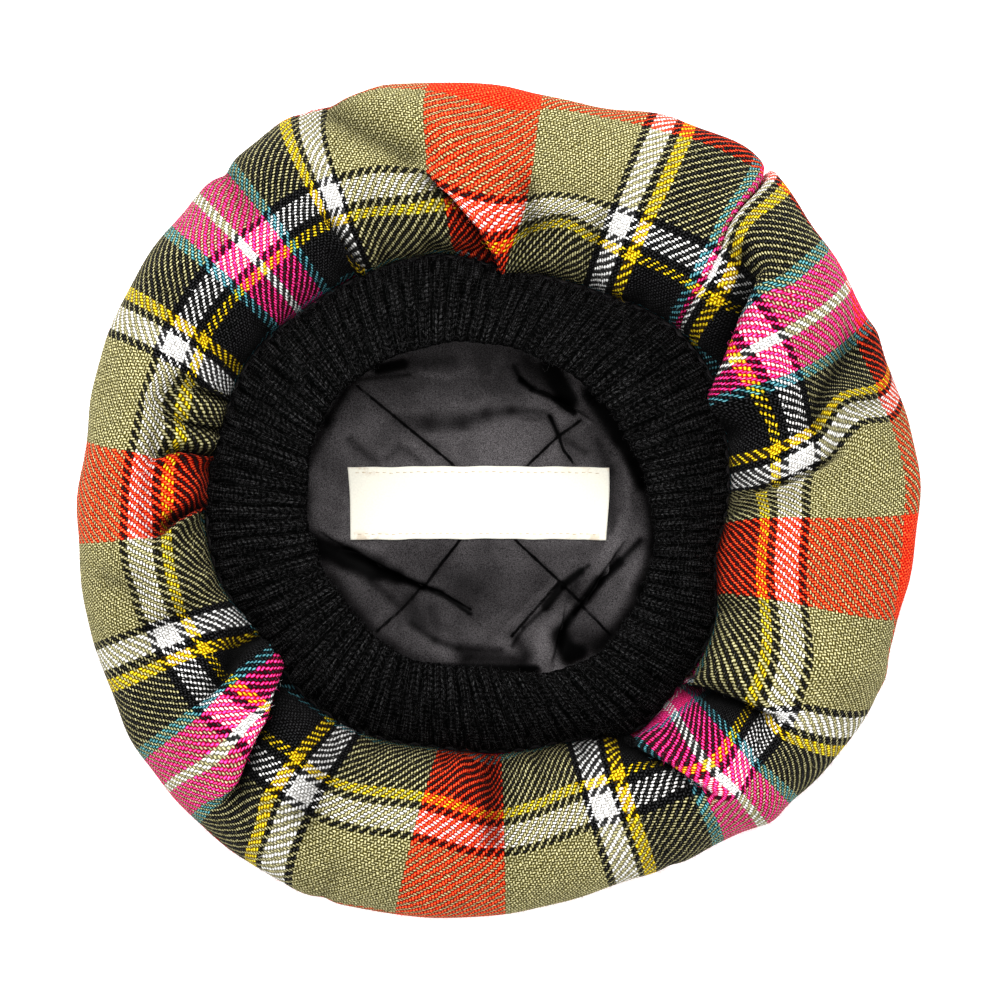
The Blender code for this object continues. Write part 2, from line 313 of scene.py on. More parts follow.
# Levels of the strip run from 0 at the band, over 1 at the crest and 2 at the outline, to 3 at
# its foot. Its folds grow up to the first of these, and die away from the second to the foot.
FOLDS_FULL = 0.4
FOLDS_FADE = 2.2
# How deep and how wide the join of the strip's ends pulls in, and how far its foot is
# turned up inside.
JOIN_DEPTH = 3.2
JOIN_WIDTH = 0.9
FOOT_TURN = 4.0

# The half repeat of the tartan, from the middle of the orange stripe to the next turning
# point: where each stripe ends, and its thread.
SETT_HALF = 107.5
SETT = (
    (16.8, "orange"),
    (52.1, "olive"),
    (54.8, "black"),
    (62.2, "white"),
    (64.8, "black"),
    (68.9, "yellow"),
    (90.0, "black"),
    (94.4, "teal"),
    (105.8, "pink"),
    (107.5, "white"),
)
# Painted shade in the gaps: how much deeper the colour grows from a yarn's middle into the gap
# beside it.
GAP_DEPTH = 1.6
# How wide the floats of warp and weft are, and how much their ends draw in.
WARP_FLOAT = (1.15, 1.25)
WEFT_FLOAT = (0.9, 1.4)
# Where the strip's two thread counts start in the repeat.
WARP_START = -107.5
WEFT_START = 94.4

# Loose fibres on the cloth and on the knit: shortest and longest, one of how many is longer
# still, how many times as long it is, and their radius.
CLOTH_FIBRES = (0.8, 2.4, 12, 1.6, 0.04)
KNIT_FIBRES = (0.7, 2.0, 30, 2.6, 0.026)

# ---------------------------------------------------------------- the round top

TOP_Z = 0.35
# Its slight rise and fall: height, and the radius that it changes over.
TOP_WAVE = (0.25, 17.0)
# Its edge turned up to the seam: how far in, and how high.
TOP_EDGE = ((0.5, 1.6), (0.9, 3.6))

# ---------------------------------------------------------------- the band

# Unevenness of its folded edge: height, waves round the cap, and where they start.
BAND_SWAY = ((0.35, 7, 0), (0.25, 17, 40))
# How far a knit stitch leans, in stitches for each rib, and how deep the gap beside it is.
KNIT_LEAN = 1.7
LOOP_DEPTH = 0.12

# ---------------------------------------------------------------- the lining

# The quilted diamonds: distance between seams, middle of the pattern, and padding's rise.
QUILT_PITCH = 33.0
QUILT_MIDDLE = (-3.4, -0.7)
QUILT_RISE = 1.6
# Heights of the lining's floor, of its lowest place, and of its back.
LINING_FLOOR_Z = 7.2
LINING_LOWEST_Z = 4.8
LINING_BACK_Z = 2.5
LINING_THICKNESS = 2.0

# The side of the lining, from its sewn edge to its floor: offset from the seam, height.
LINING_SIDE = ((-3.8, 24.7), (-1.7, 20.2), (3.2, 15.4), (5.2, 10.6), (1.0, 7.8), (-5.0, 7.2))
# The side's distance from a quilting seam in metres, and its shade.
LINING_SIDE_MAP = (0.02, 0.3)
# Small pleats of the side: depth, how many round the cap, and where they start.
LINING_PLEATS = ((0.5, 23, 0), (0.35, 37, 50))

# Quilting seams that show, end to end: x, y, x, y.
QUILT_SEAMS = (
    (-48.6, 39.1, -16.9, 13.2),
    (-16.9, 13.2, 5.7, -13.8),
    (5.7, -13.8, 20.2, -27.3),
    (20.2, -27.3, 37.8, -45.9),
    (-42.0, -44.5, -33.0, -36.5),
    (-33.0, -36.5, -25.3, -28.3),
    (-25.3, -28.3, -13.8, -13.5),
    (-13.8, -13.5, 9.8, 12.5),
    (9.8, 12.5, 20.2, 22.3),
    (20.2, 22.3, 27.0, 26.7),
    (16.9, 28.6, 19.9, 22.3),
    (19.9, 22.3, 21.4, 17.6),
    (21.4, 17.6, 25.0, 12.6),
    (-25.3, -28.3, -10.1, -36.8),
    (20.2, -27.3, 4.0, -45.9),
)

# Tucks of the lining, as for the strip but in x and y: +1 puts the left of the line on top.
LINING_TUCKS = (
    (((-64.0, -9.0), (-56.0, -14.0), (-40.0, -22.0), (-29.0, -27.5)), 1, 1.2, 7.0, 1.6, 1.8),
    (((45.0, -11.0), (37.0, -21.0), (30.0, -32.0)), -1, 1.2, 6.5, 1.4, 1.8),
    (((5.0, 44.0), (10.0, 39.0), (16.0, 36.0), (25.0, 31.0)), -1, 1.0, 5.2, 1.2, 1.8),
    (((23.0, -32.0), (21.5, -40.0), (19.5, -48.0)), -1, 1.0, 5.2, 1.2, 1.6),
)

# Soft folds of the lining: x, y, x, y, half width, height.
LINING_FOLDS = (
    (-52.0, 24.0, -41.0, 14.0, 4.0, -0.7),
    (-27.0, 22.5, -6.0, 30.5, 4.5, -0.8),
    (-6.0, 30.5, 12.0, 25.5, 5.0, -0.6),
    (-34.0, 33.0, -8.0, 37.5, 6.0, 0.9),
    (-8.0, 37.5, 12.0, 33.0, 5.0, 0.7),
    (-22.0, 42.0, 2.0, 43.0, 5.5, -0.8),
    (33.0, 18.0, 45.0, 6.0, 4.0, 0.9),
    (42.0, 12.0, 46.0, -12.0, 3.4, 1.0),
    (37.0, 6.0, 41.5, -12.0, 3.2, -0.8),
    (36.0, -18.0, 27.0, -33.0, 3.0, 0.9),
    (32.0, -14.0, 36.0, -24.0, 3.0, -0.8),
    (21.0, -28.0, 6.0, -46.0, 2.6, 0.9),
    (17.0, -27.0, 2.0, -44.0, 2.6, -0.8),
    (-41.5, -20.0, -48.0, -33.0, 6.0, 0.8),
    (-22.0, -38.0, -8.0, -47.0, 4.6, 0.9),
    (-28.0, -33.0, -15.0, -46.0, 4.0, -0.7),
    (-12.0, -30.0, 2.0, -34.0, 8.0, 0.7),
    (-56.0, 2.0, -50.0, -8.0, 5.0, 0.8),
    (-50.0, 12.0, -47.0, -6.0, 4.0, -0.7),
    (12.0, -44.0, 16.0, -52.0, 4.0, 0.8),
    (30.0, -42.0, 34.0, -36.0, 5.0, 0.8),
)

# Light and shadow in the lining's folds: x, y, x, y, half width, depth of the shadow from
# 0 to 1. Below 0 the satin shines. The power says how strongly they all show.
SHADE_POWER = 1.35
LINING_SHADES = (
    (-67.0, -13.5, -52.0, -19.2, 4.5, 0.985),
    (-52.0, -19.2, -43.0, -23.1, 4.5, 0.985),
    (-43.0, -23.1, -35.0, -25.8, 3.0, 0.98),
    (-35.0, -25.8, -26.5, -29.0, 1.7, 0.96),
    (-26.5, -29.0, -20.0, -31.4, 1.3, 0.93),
    (-20.0, -31.4, -10.0, -38.4, 0.8, 0.92),
    (47.5, -13.5, 40.4, -20.8, 1.4, 0.9),
    (40.4, -20.8, 33.6, -27.4, 2.0, 0.97),
    (33.6, -27.4, 28.6, -33.6, 2.1, 0.98),
    (30.0, -22.0, 27.0, -24.4, 0.8, 0.85),
    (27.5, -24.0, 21.0, -28.8, 1.5, 0.94),
    (21.0, -28.8, 15.6, -36.0, 1.8, 0.95),
    (15.6, -36.0, 8.0, -43.0, 0.9, 0.88),
    (8.0, -43.0, 4.2, -49.0, 0.8, 0.8),
    (26.5, -36.0, 20.5, -44.5, 1.8, 0.97),
    (20.5, -46.0, 23.5, -53.0, 3.6, 0.98),
    (23.5, -51.0, 27.0, -51.5, 3.2, 0.98),
    (25.5, -28.0, 24.5, -32.5, 2.6, 0.6),
    (-22.0, -57.0, 12.0, -57.5, 2.2, 0.97),
    (-12.0, -53.4, 8.0, -54.4, 3.2, 0.82),
    (-30.0, -41.5, -22.0, -47.2, 1.2, 0.6),
    (-22.0, -47.2, -14.0, -50.0, 1.3, 0.6),
    (-14.0, -50.0, 0.0, -51.0, 1.6, 0.65),
    (5.0, -46.0, 9.0, -52.0, 2.6, 0.65),
    (-30.5, -33.0, -28.0, -41.5, 3.4, 0.5),
    (-23.0, -36.5, -21.5, -41.5, 2.2, 0.35),
    (-44.0, -27.0, -34.5, -35.5, 1.5, 0.5),
    (-57.0, -28.0, -45.0, -44.0, 3.0, 0.5),
    (36.0, -47.0, 44.0, -38.0, 3.0, 0.5),
    (-20.0, -24.0, -8.0, -29.0, 5.0, 0.3),
    (4.8, 45.5, 7.2, 41.0, 1.2, 0.85),
    (7.2, 41.0, 11.0, 38.0, 1.3, 0.92),
    (11.0, 38.0, 19.0, 34.4, 1.1, 0.92),
    (19.0, 34.4, 25.0, 30.0, 1.4, 0.96),
    (9.5, 47.0, 17.0, 40.0, 4.4, 0.75),
    (17.0, 46.0, 23.0, 34.0, 4.0, 0.97),
    (31.5, 36.5, 41.0, 22.0, 4.2, 0.96),
    (41.0, 22.0, 49.0, 6.0, 3.4, 0.93),
    (49.0, 6.0, 53.0, -12.0, 2.2, 0.8),
    (16.9, 28.8, 19.8, 22.6, 1.1, 0.9),
    (20.0, 22.0, 29.0, 16.5, 1.5, 0.5),
    (33.0, 20.0, 37.5, 10.0, 1.8, 0.45),
    (37.5, 10.0, 38.0, -10.0, 1.8, 0.5),
    (-41.5, 44.8, -33.0, 46.4, 2.2, 0.97),
    (-48.0, 41.2, -31.0, 42.8, 1.0, 0.6),
    (-30.0, 47.0, -16.0, 47.6, 2.6, 0.45),
    (-50.0, 41.5, -59.0, 27.0, 2.4, 0.85),
    (-59.0, 27.0, -66.5, 13.0, 2.8, 0.8),
    (-66.5, 13.0, -67.0, -4.0, 2.0, 0.8),
    (-51.0, 20.8, -42.0, 13.2, 1.8, 0.5),
    (-38.0, 14.5, -35.5, 17.0, 1.6, 0.4),
    (-34.0, 18.6, -26.5, 13.0, 1.6, 0.4),
    (-34.0, 27.5, -24.0, 26.0, 2.6, 0.4),
    (-24.0, 26.0, -13.0, 26.4, 3.2, 0.5),
    (-13.0, 26.4, -5.0, 29.4, 2.6, 0.5),
    (-5.0, 29.4, 4.0, 30.6, 1.9, 0.52),
    (4.0, 30.6, 15.5, 30.2, 1.6, 0.5),
    (8.0, 27.6, 14.0, 28.0, 1.0, 0.35),
    (-53.0, 26.0, -57.0, 16.0, 1.6, -0.5),
    (-57.0, 16.0, -64.3, 7.0, 2.2, -0.5),
    (-63.0, -3.0, -62.0, -9.0, 2.4, -0.5),
    (-56.0, 8.0, -52.0, -8.0, 6.0, -0.2),
    (-27.0, 43.2, -17.0, 42.0, 1.2, -0.45),
    (-17.0, 42.0, -9.0, 45.0, 1.3, -0.35),
    (-12.0, 43.0, -3.0, 41.5, 1.4, -0.3),
    (-3.0, 41.5, 0.5, 48.0, 1.4, -0.35),
    (-44.0, 36.0, -20.0, 35.0, 3.0, -0.15),
    (-36.0, 31.0, -12.0, 32.0, 1.4, -0.25),
    (-12.0, 32.0, 0.0, 34.4, 1.6, -0.3),
    (0.0, 34.4, 12.0, 33.6, 1.8, -0.4),
    (12.0, 33.6, 24.0, 29.0, 1.8, -0.4),
    (-28.0, 22.4, -20.0, 21.6, 1.1, -0.45),
    (-20.0, 21.6, -11.0, 22.4, 1.1, -0.45),
    (-3.0, 25.0, 8.0, 26.5, 1.6, -0.2),
    (25.6, 38.5, 28.5, 32.0, 0.8, -0.9),
    (28.5, 32.0, 30.0, 27.0, 1.0, -0.9),
    (30.0, 27.0, 26.0, 23.5, 1.0, -0.6),
    (31.0, 31.5, 38.0, 22.5, 2.0, -0.35),
    (38.0, 22.5, 43.0, 10.0, 1.8, -0.45),
    (43.0, 10.0, 43.5, -3.0, 1.4, -0.5),
    (43.5, -3.0, 35.5, -18.0, 1.3, -0.6),
    (39.0, -14.0, 34.0, -23.0, 2.6, -0.35),
    (49.5, -17.0, 43.0, -29.0, 1.8, -0.45),
    (43.0, -29.0, 38.5, -40.0, 2.6, -0.2),
    (19.5, -27.5, 15.0, -32.5, 1.4, -0.35),
    (13.6, -35.6, 3.4, -48.0, 0.7, -0.6),
    (23.5, -36.0, 17.0, -41.0, 1.6, -0.35),
    (15.0, -44.0, 14.0, -54.0, 2.6, -0.35),
    (26.5, -47.0, 34.0, -47.5, 2.4, -0.1),
    (-31.0, -43.0, -24.0, -49.0, 2.2, -0.35),
    (-24.0, -49.0, -14.0, -53.0, 2.0, -0.35),
    (-20.0, -39.0, -8.0, -45.0, 4.0, -0.15),
    (-55.0, -22.0, -46.0, -30.0, 2.0, -0.3),
    (-48.0, -31.0, -38.0, -38.0, 4.5, -0.2),
    (-50.0, -14.0, -40.0, -16.5, 1.4, -0.3),
    (-30.0, -28.0, 26.0, -30.0, 20.0, 0.48),
    (-34.0, -40.0, -12.0, -48.0, 9.0, 0.22),
    (-36.0, 42.0, 0.0, 44.0, 12.0, 0.33),
    (24.0, -46.0, 36.0, -50.0, 6.0, 0.62),
    (34.0, 24.0, 46.0, 0.0, 9.0, 0.38),
    (-67.0, 6.0, -63.0, -22.0, 3.6, 0.5),
    (-63.0, -22.0, -50.0, -42.0, 4.6, 0.8),
    (-50.0, -42.0, -38.0, -50.5, 4.0, 0.84),
    (-38.0, -50.5, -24.0, -57.0, 3.6, 0.7),
    (53.5, 4.0, 52.5, -16.0, 3.4, 0.8),
    (52.5, -16.0, 48.6, -30.0, 3.6, 0.9),
    (48.6, -30.0, 43.5, -42.0, 3.8, 0.9),
    (43.5, -42.0, 33.0, -50.0, 3.6, 0.75),
)

# ---------------------------------------------------------------- the label

# Half its length and width. The lining lies level under it, and leaves that over a margin.
LABEL_MIDDLE = (-6.8, -0.8)
LABEL_HALF = (43.8, 12.3)
LABEL_BED_Z = 9.2
LABEL_BED_MARGIN = 7.0
# How high the tape lies over its bed, and how far it sinks into the padding.
LABEL_RISE = 0.75
LABEL_SUNK = 0.4
LABEL_STAIN = (0.56, 0.4, 0.24)
LABEL_THREAD = (0.5, 0.36, 0.2)
# Its two rows of stitches: from the long edge, from the left end, from the right end, how
# much of the pitch a stitch shows, and the thread's radius.
STITCH_INSET = 1.9
STITCH_ENDS = (2.5, 3.5)
STITCH_SHARE = 0.52
STITCH_RADIUS = 0.13

# ---------------------------------------------------------------- the stage

# Half the floor's side, in metres.
FLOOR_REACH = 3.0
WHITE_LIGHT = (1.0, 1.0, 1.0)
# Soft boxes in metres: place, and length of a side.
KEY_BOX = ((-0.2, 0.8, 1.35), 1.0)
TOP_BOX = ((0.0, 0.15, 1.5), 0.7)
SENSOR_WIDTH = 36.0
CAMERA_Y = 0.3 * MM

# ---------------------------------------------------------------- how finely it is made

STRIP_COLUMNS = 640
STRIP_STEPS = (24, 26, 12)
TOP_COLUMNS = 240
TOP_RINGS = 36
BAND_POINTS_PER_RIB = 6
# Steps of the band outside, over its edge, and inside.
BAND_STEPS = (58, 7, 26)
LINING_COLUMNS = 480
LINING_SIDE_ROWS = 26
LINING_FLOOR_ROWS = 127
LABEL_POINTS = (44, 150)


# ---------------------------------------------------------------- what a user may change


def colour_setting(name, description, default):
    """A colour that a user may change."""
    return FloatVectorProperty(
        name=name, description=description, subtype="COLOR", default=default, min=0.0, max=1.0
    )


def length_setting(name, description, default, low, high):
    """A length that a user may change, from its value and limits in millimetres."""
    return FloatProperty(
        name=name,
        description=description,
        default=default * MM,
        min=low * MM,
        max=high * MM,
        unit="LENGTH",
    )


def count_setting(name, description, default, low, high):
    """A whole number that a user may change."""
    return IntProperty(name=name, description=description, default=default, min=low, max=high)


def light_setting(name, description, default, high, subtype="NONE"):
    """A strength or power of light that a user may change."""
    return FloatProperty(
        name=name, description=description, default=default, min=0.0, max=high, subtype=subtype
    )


class TamClothSettings(bpy.types.PropertyGroup):
    """The tartan cloth."""

    orange: colour_setting("Orange", "Thread of the widest stripe", (0.95, 0.1, 0.028))
    olive: colour_setting("Olive", "Thread of the ground beside the orange", (0.41, 0.382, 0.21))
    black: colour_setting("Black", "Thread of the dark ground", (0.016, 0.0158, 0.0165))
    white: colour_setting("White", "Thread of the white lines", (0.88, 0.87, 0.85))
    yellow: colour_setting("Yellow", "Thread of the thin bright line", (0.74, 0.56, 0.022))
    teal: colour_setting("Teal", "Thread of the lines beside the pink", (0.1, 0.285, 0.325))
    pink: colour_setting("Pink", "Thread of the pink stripe", (0.92, 0.06, 0.31))
    yarn: length_setting("Yarn", "Width of one yarn of the twill", 0.88, 0.2, 3.0)
    thickness: length_setting("Thickness", "Thickness of the cloth", 1.3, 0.5, 3.0)
    fibres: count_setting("Fibres", "Loose ends of wool on the cloth", 13000, 0, 14000)


class TamKnitSettings(bpy.types.PropertyGroup):
    """The rib-knit band."""

    colour: colour_setting("Wool", "Colour of the knitting wool", (0.0032, 0.00315, 0.0032))
    ribs: count_setting("Ribs", "Ribs round the band", 92, 20, 160)
    relief: length_setting("Relief", "Height of a rib above the furrow beside it", 0.8, 0.1, 2.0)
    stitch: length_setting("Stitch", "Length of one knit stitch along a rib", 1.9, 0.5, 6.0)
    thickness: length_setting("Thickness", "Thickness of the doubled knit", 4.5, 1.0, 8.0)
    fibres: count_setting("Fibres", "Loose ends of wool on the knit", 7000, 0, 20000)


class TamLiningSettings(bpy.types.PropertyGroup):
    """The quilted lining."""

    colour: colour_setting("Satin", "Colour of the lining", (0.0575, 0.0528, 0.0545))
    seam_depth: length_setting("Seam depth", "How deep the quilting seams sink", 0.6, 0.0, 3.0)
    seam_width: length_setting("Seam width", "Half width of a quilting furrow", 0.7, 0.3, 5.0)


class TamLabelSettings(bpy.types.PropertyGroup):
    """The label."""

    colour: colour_setting("Tape", "Colour of the woven tape", (0.88, 0.85, 0.735))
    length: length_setting("Length", "Length of the label", 87.6, 20.0, 120.0)
    width: length_setting("Width", "Width of the label", 24.6, 10.0, 40.0)
    thickness: length_setting("Thickness", "Thickness of the tape", 0.5, 0.2, 2.0)
    stitch: length_setting("Stitch", "From one sewing stitch to the next", 2.3, 1.0, 6.0)


class TamStageSettings(bpy.types.PropertyGroup):
    """The floor, the light and the camera."""

    floor: colour_setting("Floor", "Colour of the floor", (0.9, 0.9, 0.9))
    glow: light_setting("Floor glow", "Light of the floor itself, against shadows", 0.6, 2.0)
    fill: light_setting("Fill light", "Strength of the even light from all round", 0.55, 5.0)
    top: light_setting("Top light", "Soft light beside the camera", 14.0, 200.0, "POWER")
    key: light_setting("Key light", "Large soft light", 27.0, 200.0, "POWER")
    height: length_setting("Camera height", "Camera above the floor", 1250.0, 500.0, 5000.0)
    lens: FloatProperty(
        name="Lens",
        description="Focal length",
        default=131.7,
        min=20.0,
        max=300.0,
        subtype="DISTANCE_CAMERA",
        unit="CAMERA",
    )


# ---------------------------------------------------------------- shapes by angle


def around(table, column, angle):
    """A smooth closed curve through one column of a table, at angles in degrees."""
    rows = np.array(table, float)
    turns = np.concatenate([rows[:, 0] + turn for turn in (-360.0, 0.0, 360.0)])
    values = np.tile(rows[:, column], 3)
    slopes = np.gradient(values)
    slopes[1:-1] = (values[2:] - values[:-2]) / (turns[2:] - turns[:-2])
    angle = np.asarray(angle, float) % 360.0
    before = np.searchsorted(turns, angle, side="right") - 1
    span = turns[before + 1] - turns[before]
    share = (angle - turns[before]) / span
    start, end = values[before], values[before + 1]
    return hermite(share, start, end, slopes[before] * span, slopes[before + 1] * span)


def hermite(share, start, end, slope_in, slope_out):
    """A smooth curve from start to end that leaves and arrives at the given slopes."""
    square, cube = share ** 2, share ** 3
    return (
        start * (2 * cube - 3 * square + 1)
        + slope_in * (cube - 2 * square + share)
        + end * (3 * square - 2 * cube)
        + slope_out * (cube - square)
    )


def compass(angle):
    """Unit vectors of the plan for angles in degrees."""
    turn = np.radians(angle)
    return np.stack([np.cos(turn), np.sin(turn)], axis=-1)


def smoothstep(low, high, value):
    """From 0 at low to 1 at high, with soft ends."""
    share = np.clip((value - low) / (high - low), 0.0, 1.0)
    return share * share * (3.0 - 2.0 * share)


def smoothed(values, reach):
    """Values averaged with their neighbours, the ends kept."""
    padded = np.pad(values, reach, mode="reflect", reflect_type="odd")
    kernel = np.hanning(2 * reach + 3)[1:-1]
    return np.convolve(padded, kernel / kernel.sum(), mode="valid")


def waves_round(angle, waves):
    """The sum of a few waves round the cap: height, how many, and where each starts."""
    return sum(height * np.sin(np.radians(angle * count + start)) for height, count, start in waves)


def along_line(points, line):
    """How far along a bent line points of the plan lie, and how far to its left."""
    side = np.full(points.shape[:-1], np.inf)
    along = np.zeros(points.shape[:-1])
    run = 0.0
    last = len(line) - 2
    for index, (start, end) in enumerate(zip(line, line[1:])):
        step = end - start
        length = np.linalg.norm(step)
        forward = step / length
        offset = points - start
        ahead = offset @ forward
        left = offset @ np.array([-forward[1], forward[0]])
        low = -np.inf if index == 0 else 0.0
        high = np.inf if index == last else length
        nearest = np.clip(ahead, low, high)
        distance = np.hypot(ahead - nearest, left)
        closer = distance < np.abs(side)
        side = np.where(closer, np.where(left < 0, -distance, distance), side)
        along = np.where(closer, run + nearest, along)
        run += length
    return along, side, run


def tuck_slide(reach, taken):
    """How far a tuck slides the cloth, in half widths. Its tails end at two half widths."""
    return (1.0 + taken) * reach * (1.0 - np.abs(reach) / 2.0) ** 6


def tuck_edges(taken):
    """Where a tuck's cloth turns, where that comes to lie, and where the lower cloth shows."""
    places = np.linspace(0.0, 2.0, 801)
    shown = places - tuck_slide(places, taken)
    turn = int(shown.argmin())
    return places[turn], -shown[turn], np.interp(-shown[turn], shown[turn:], places[turn:])


def tuck(points, edge, over, taken, width, rise, sink):
    """How a tuck slides the cloth sideways in the plan, how far it lifts it, and its shade."""
    line = np.array(edge, float)
    along, side, length = along_line(points, line)
    strength = smoothstep(-0.2 * TUCK_FADE, TUCK_FADE, along)
    strength = strength * (1.0 - smoothstep(length, length + TUCK_FADE, along))
    turn, lip, out = tuck_edges(taken)
    reach = np.clip(side * over / width - lip, -2.0, 2.0)
    slide = -width * tuck_slide(reach, taken) * strength
    # The cloth stands highest, and lies lowest, 0.23 half widths to each side.
    lift = 7.1 * reach * np.exp(-9.3 * reach ** 2) * np.where(reach > 0, rise, sink) * strength
    across = line[-1] - line[0]
    across = np.array([-across[1], across[0]]) / np.linalg.norm(across)
    below = np.exp(-((np.maximum(-reach - out, 0.0) / TUCK_SHADOW) ** 1.5))
    above = LIP_SHADE * np.exp(-np.maximum(reach - turn, 0.0) / LIP_REACH)
    shade = np.where(reach < 0, below, above) * strength
    return over * slide[..., None] * across, lift, shade


def line_distance(points, start, end):
    """Distance of points of the plan from the line start to end."""
    step = np.subtract(end, start)
    share = np.clip((points - start) @ step / (step @ step), 0.0, 1.0)
    return np.linalg.norm(points - start - share[..., None] * step, axis=-1)


def furrow(points, start, end, width, height, sharp=0.35):
    """The height of a fold at points of the plan, sharpest on the line start to end."""
    distance = line_distance(points, start, end)
    if height > 0:
        return height * np.exp(-((distance / width) ** 2))
    rounded = sharp * width
    return height * np.exp(-(np.hypot(distance, rounded) - rounded) / (0.75 * width))


# ---------------------------------------------------------------- meshes and pieces


def ring_faces(rows, columns, wrap_rows, wrap_columns):
    """Faces over a grid of points, and the grid places of their corners."""
    row = np.arange(rows if wrap_rows else rows - 1)
    column = np.arange(columns if wrap_columns else columns - 1)
    row, column = (axis.ravel() for axis in np.meshgrid(row, column, indexing="ij"))
    corners = ((row, column), (row, column + 1), (row + 1, column + 1), (row + 1, column))
    faces = [(r % rows) * columns + c % columns for r, c in corners]
    return np.stack(faces, axis=1), [(r % rows, c) for r, c in corners]


def new_mesh(name, points, faces):
    """A smooth mesh from points in millimetres."""
    mesh = bpy.data.meshes.new(name)
    mesh.from_pydata((points.reshape(-1, 3) * MM).tolist(), [], faces)
    mesh.shade_smooth()
    return mesh


def add_map(mesh, name, values):
    """A UV map from two values for each corner of each face."""
    layer = mesh.uv_layers.new(name=name)
    layer.uv.foreach_set("vector", values.astype(np.float32).ravel())


def grid_mesh(name, points, maps, wrap_rows=False, wrap_columns=False):
    """A closed mesh over a grid of points in millimetres, with UV maps over the same grid."""
    rows, columns = points.shape[:2]
    faces, corners = ring_faces(rows, columns, wrap_rows, wrap_columns)
    mesh = new_mesh(name, points, faces.tolist())
    for key, grid in maps.items():
        add_map(mesh, key, np.stack([grid[row, column] for row, column in corners], axis=1))
    close_ends(mesh)
    return mesh


def close_ends(mesh):
    """Closes what is open and turns every face outward."""
    work = bmesh.new()
    work.from_mesh(mesh)
    bmesh.ops.holes_fill(work, edges=work.edges, sides=0)
    bmesh.ops.recalc_face_normals(work, faces=work.faces)
    work.to_mesh(mesh)
    work.free()


def link_object(name, data):
    """A new object of the scene."""
    item = bpy.data.objects.new(name, data)
    bpy.context.scene.collection.objects.link(item)
    return item


def add_piece(name, mesh, finish, node=None):
    """Links a mesh as a piece that rides on the cap, in place of a node if one is named."""
    mesh.materials.append(finish)
    piece = link_object(name, mesh)
    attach(piece, BODY)
    if node:
        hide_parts(node)
    return piece


def unit(vectors):
    """The same directions, one long."""
    return vectors / np.maximum(np.linalg.norm(vectors, axis=-1, keepdims=True), 1e-9)


def grid_normals(points, wrap_columns=False):
    """Unit normals of a grid of points, from its rows and columns."""
    if wrap_columns:
        across = (np.roll(points, -1, axis=1) - np.roll(points, 1, axis=1)) / 2
    else:
        across = np.gradient(points, axis=1)
    return unit(np.cross(across, np.gradient(points, axis=0)))


def strands(name, roots, paths, radius, maps=None, sides=3):
    """Thin tapered strands as one mesh. Paths are offsets from the roots, joint by joint."""
    count, joints = paths.shape[:2]
    centres = roots[:, None, :] + paths
    forward = unit(np.gradient(centres, axis=1))
    steep = np.abs(forward[..., 2:]) > 0.8
    across = unit(np.cross(forward, np.where(steep, (1.0, 0.0, 0.0), (0.0, 0.0, 1.0))))
    up = np.cross(forward, across)
    taper = np.linspace(1.0, 0.45, joints)[None, :, None, None]
    turn = np.arange(sides)[:, None] * 2 * np.pi / sides
    ring = across[:, :, None, :] * np.cos(turn) + up[:, :, None, :] * np.sin(turn)
    points = centres[:, :, None, :] + ring * taper * radius
    start = np.arange(count)[:, None, None] * joints * sides
    step = start + np.arange(joints - 1)[None, :, None] * sides
    here = np.arange(sides)
    after = (here + 1) % sides
    faces = [step + here, step + after, step + sides + after, step + sides + here]
    faces = np.stack(faces, axis=-1).reshape(-1, 4)
    first = start[:, 0] + here
    caps = np.concatenate([first[:, ::-1], first + (joints - 1) * sides])
    mesh = new_mesh(name, points, faces.tolist() + caps.tolist())
    owner = np.empty(len(mesh.loops), dtype=np.int32)
    mesh.loops.foreach_get("vertex_index", owner)
    for key, values in (maps or {}).items():
        add_map(mesh, key, values[owner // (joints * sides)])
    return mesh


def loose_ends(source, out, shortest, longest, one_in, longer):
    """Directions along a surface, and lengths, of loose fibres."""
    count = len(out)
    tangent = source.normal(size=(count, 3))
    tangent -= out * (tangent * out).sum(axis=1, keepdims=True)
    tangent /= np.linalg.norm(tangent, axis=1, keepdims=True)
    length = source.uniform(shortest, longest, (count, 1, 1))
    length[: count // one_in] *= longer
    return tangent[:, None, :], length


# ---------------------------------------------------------------- finishes


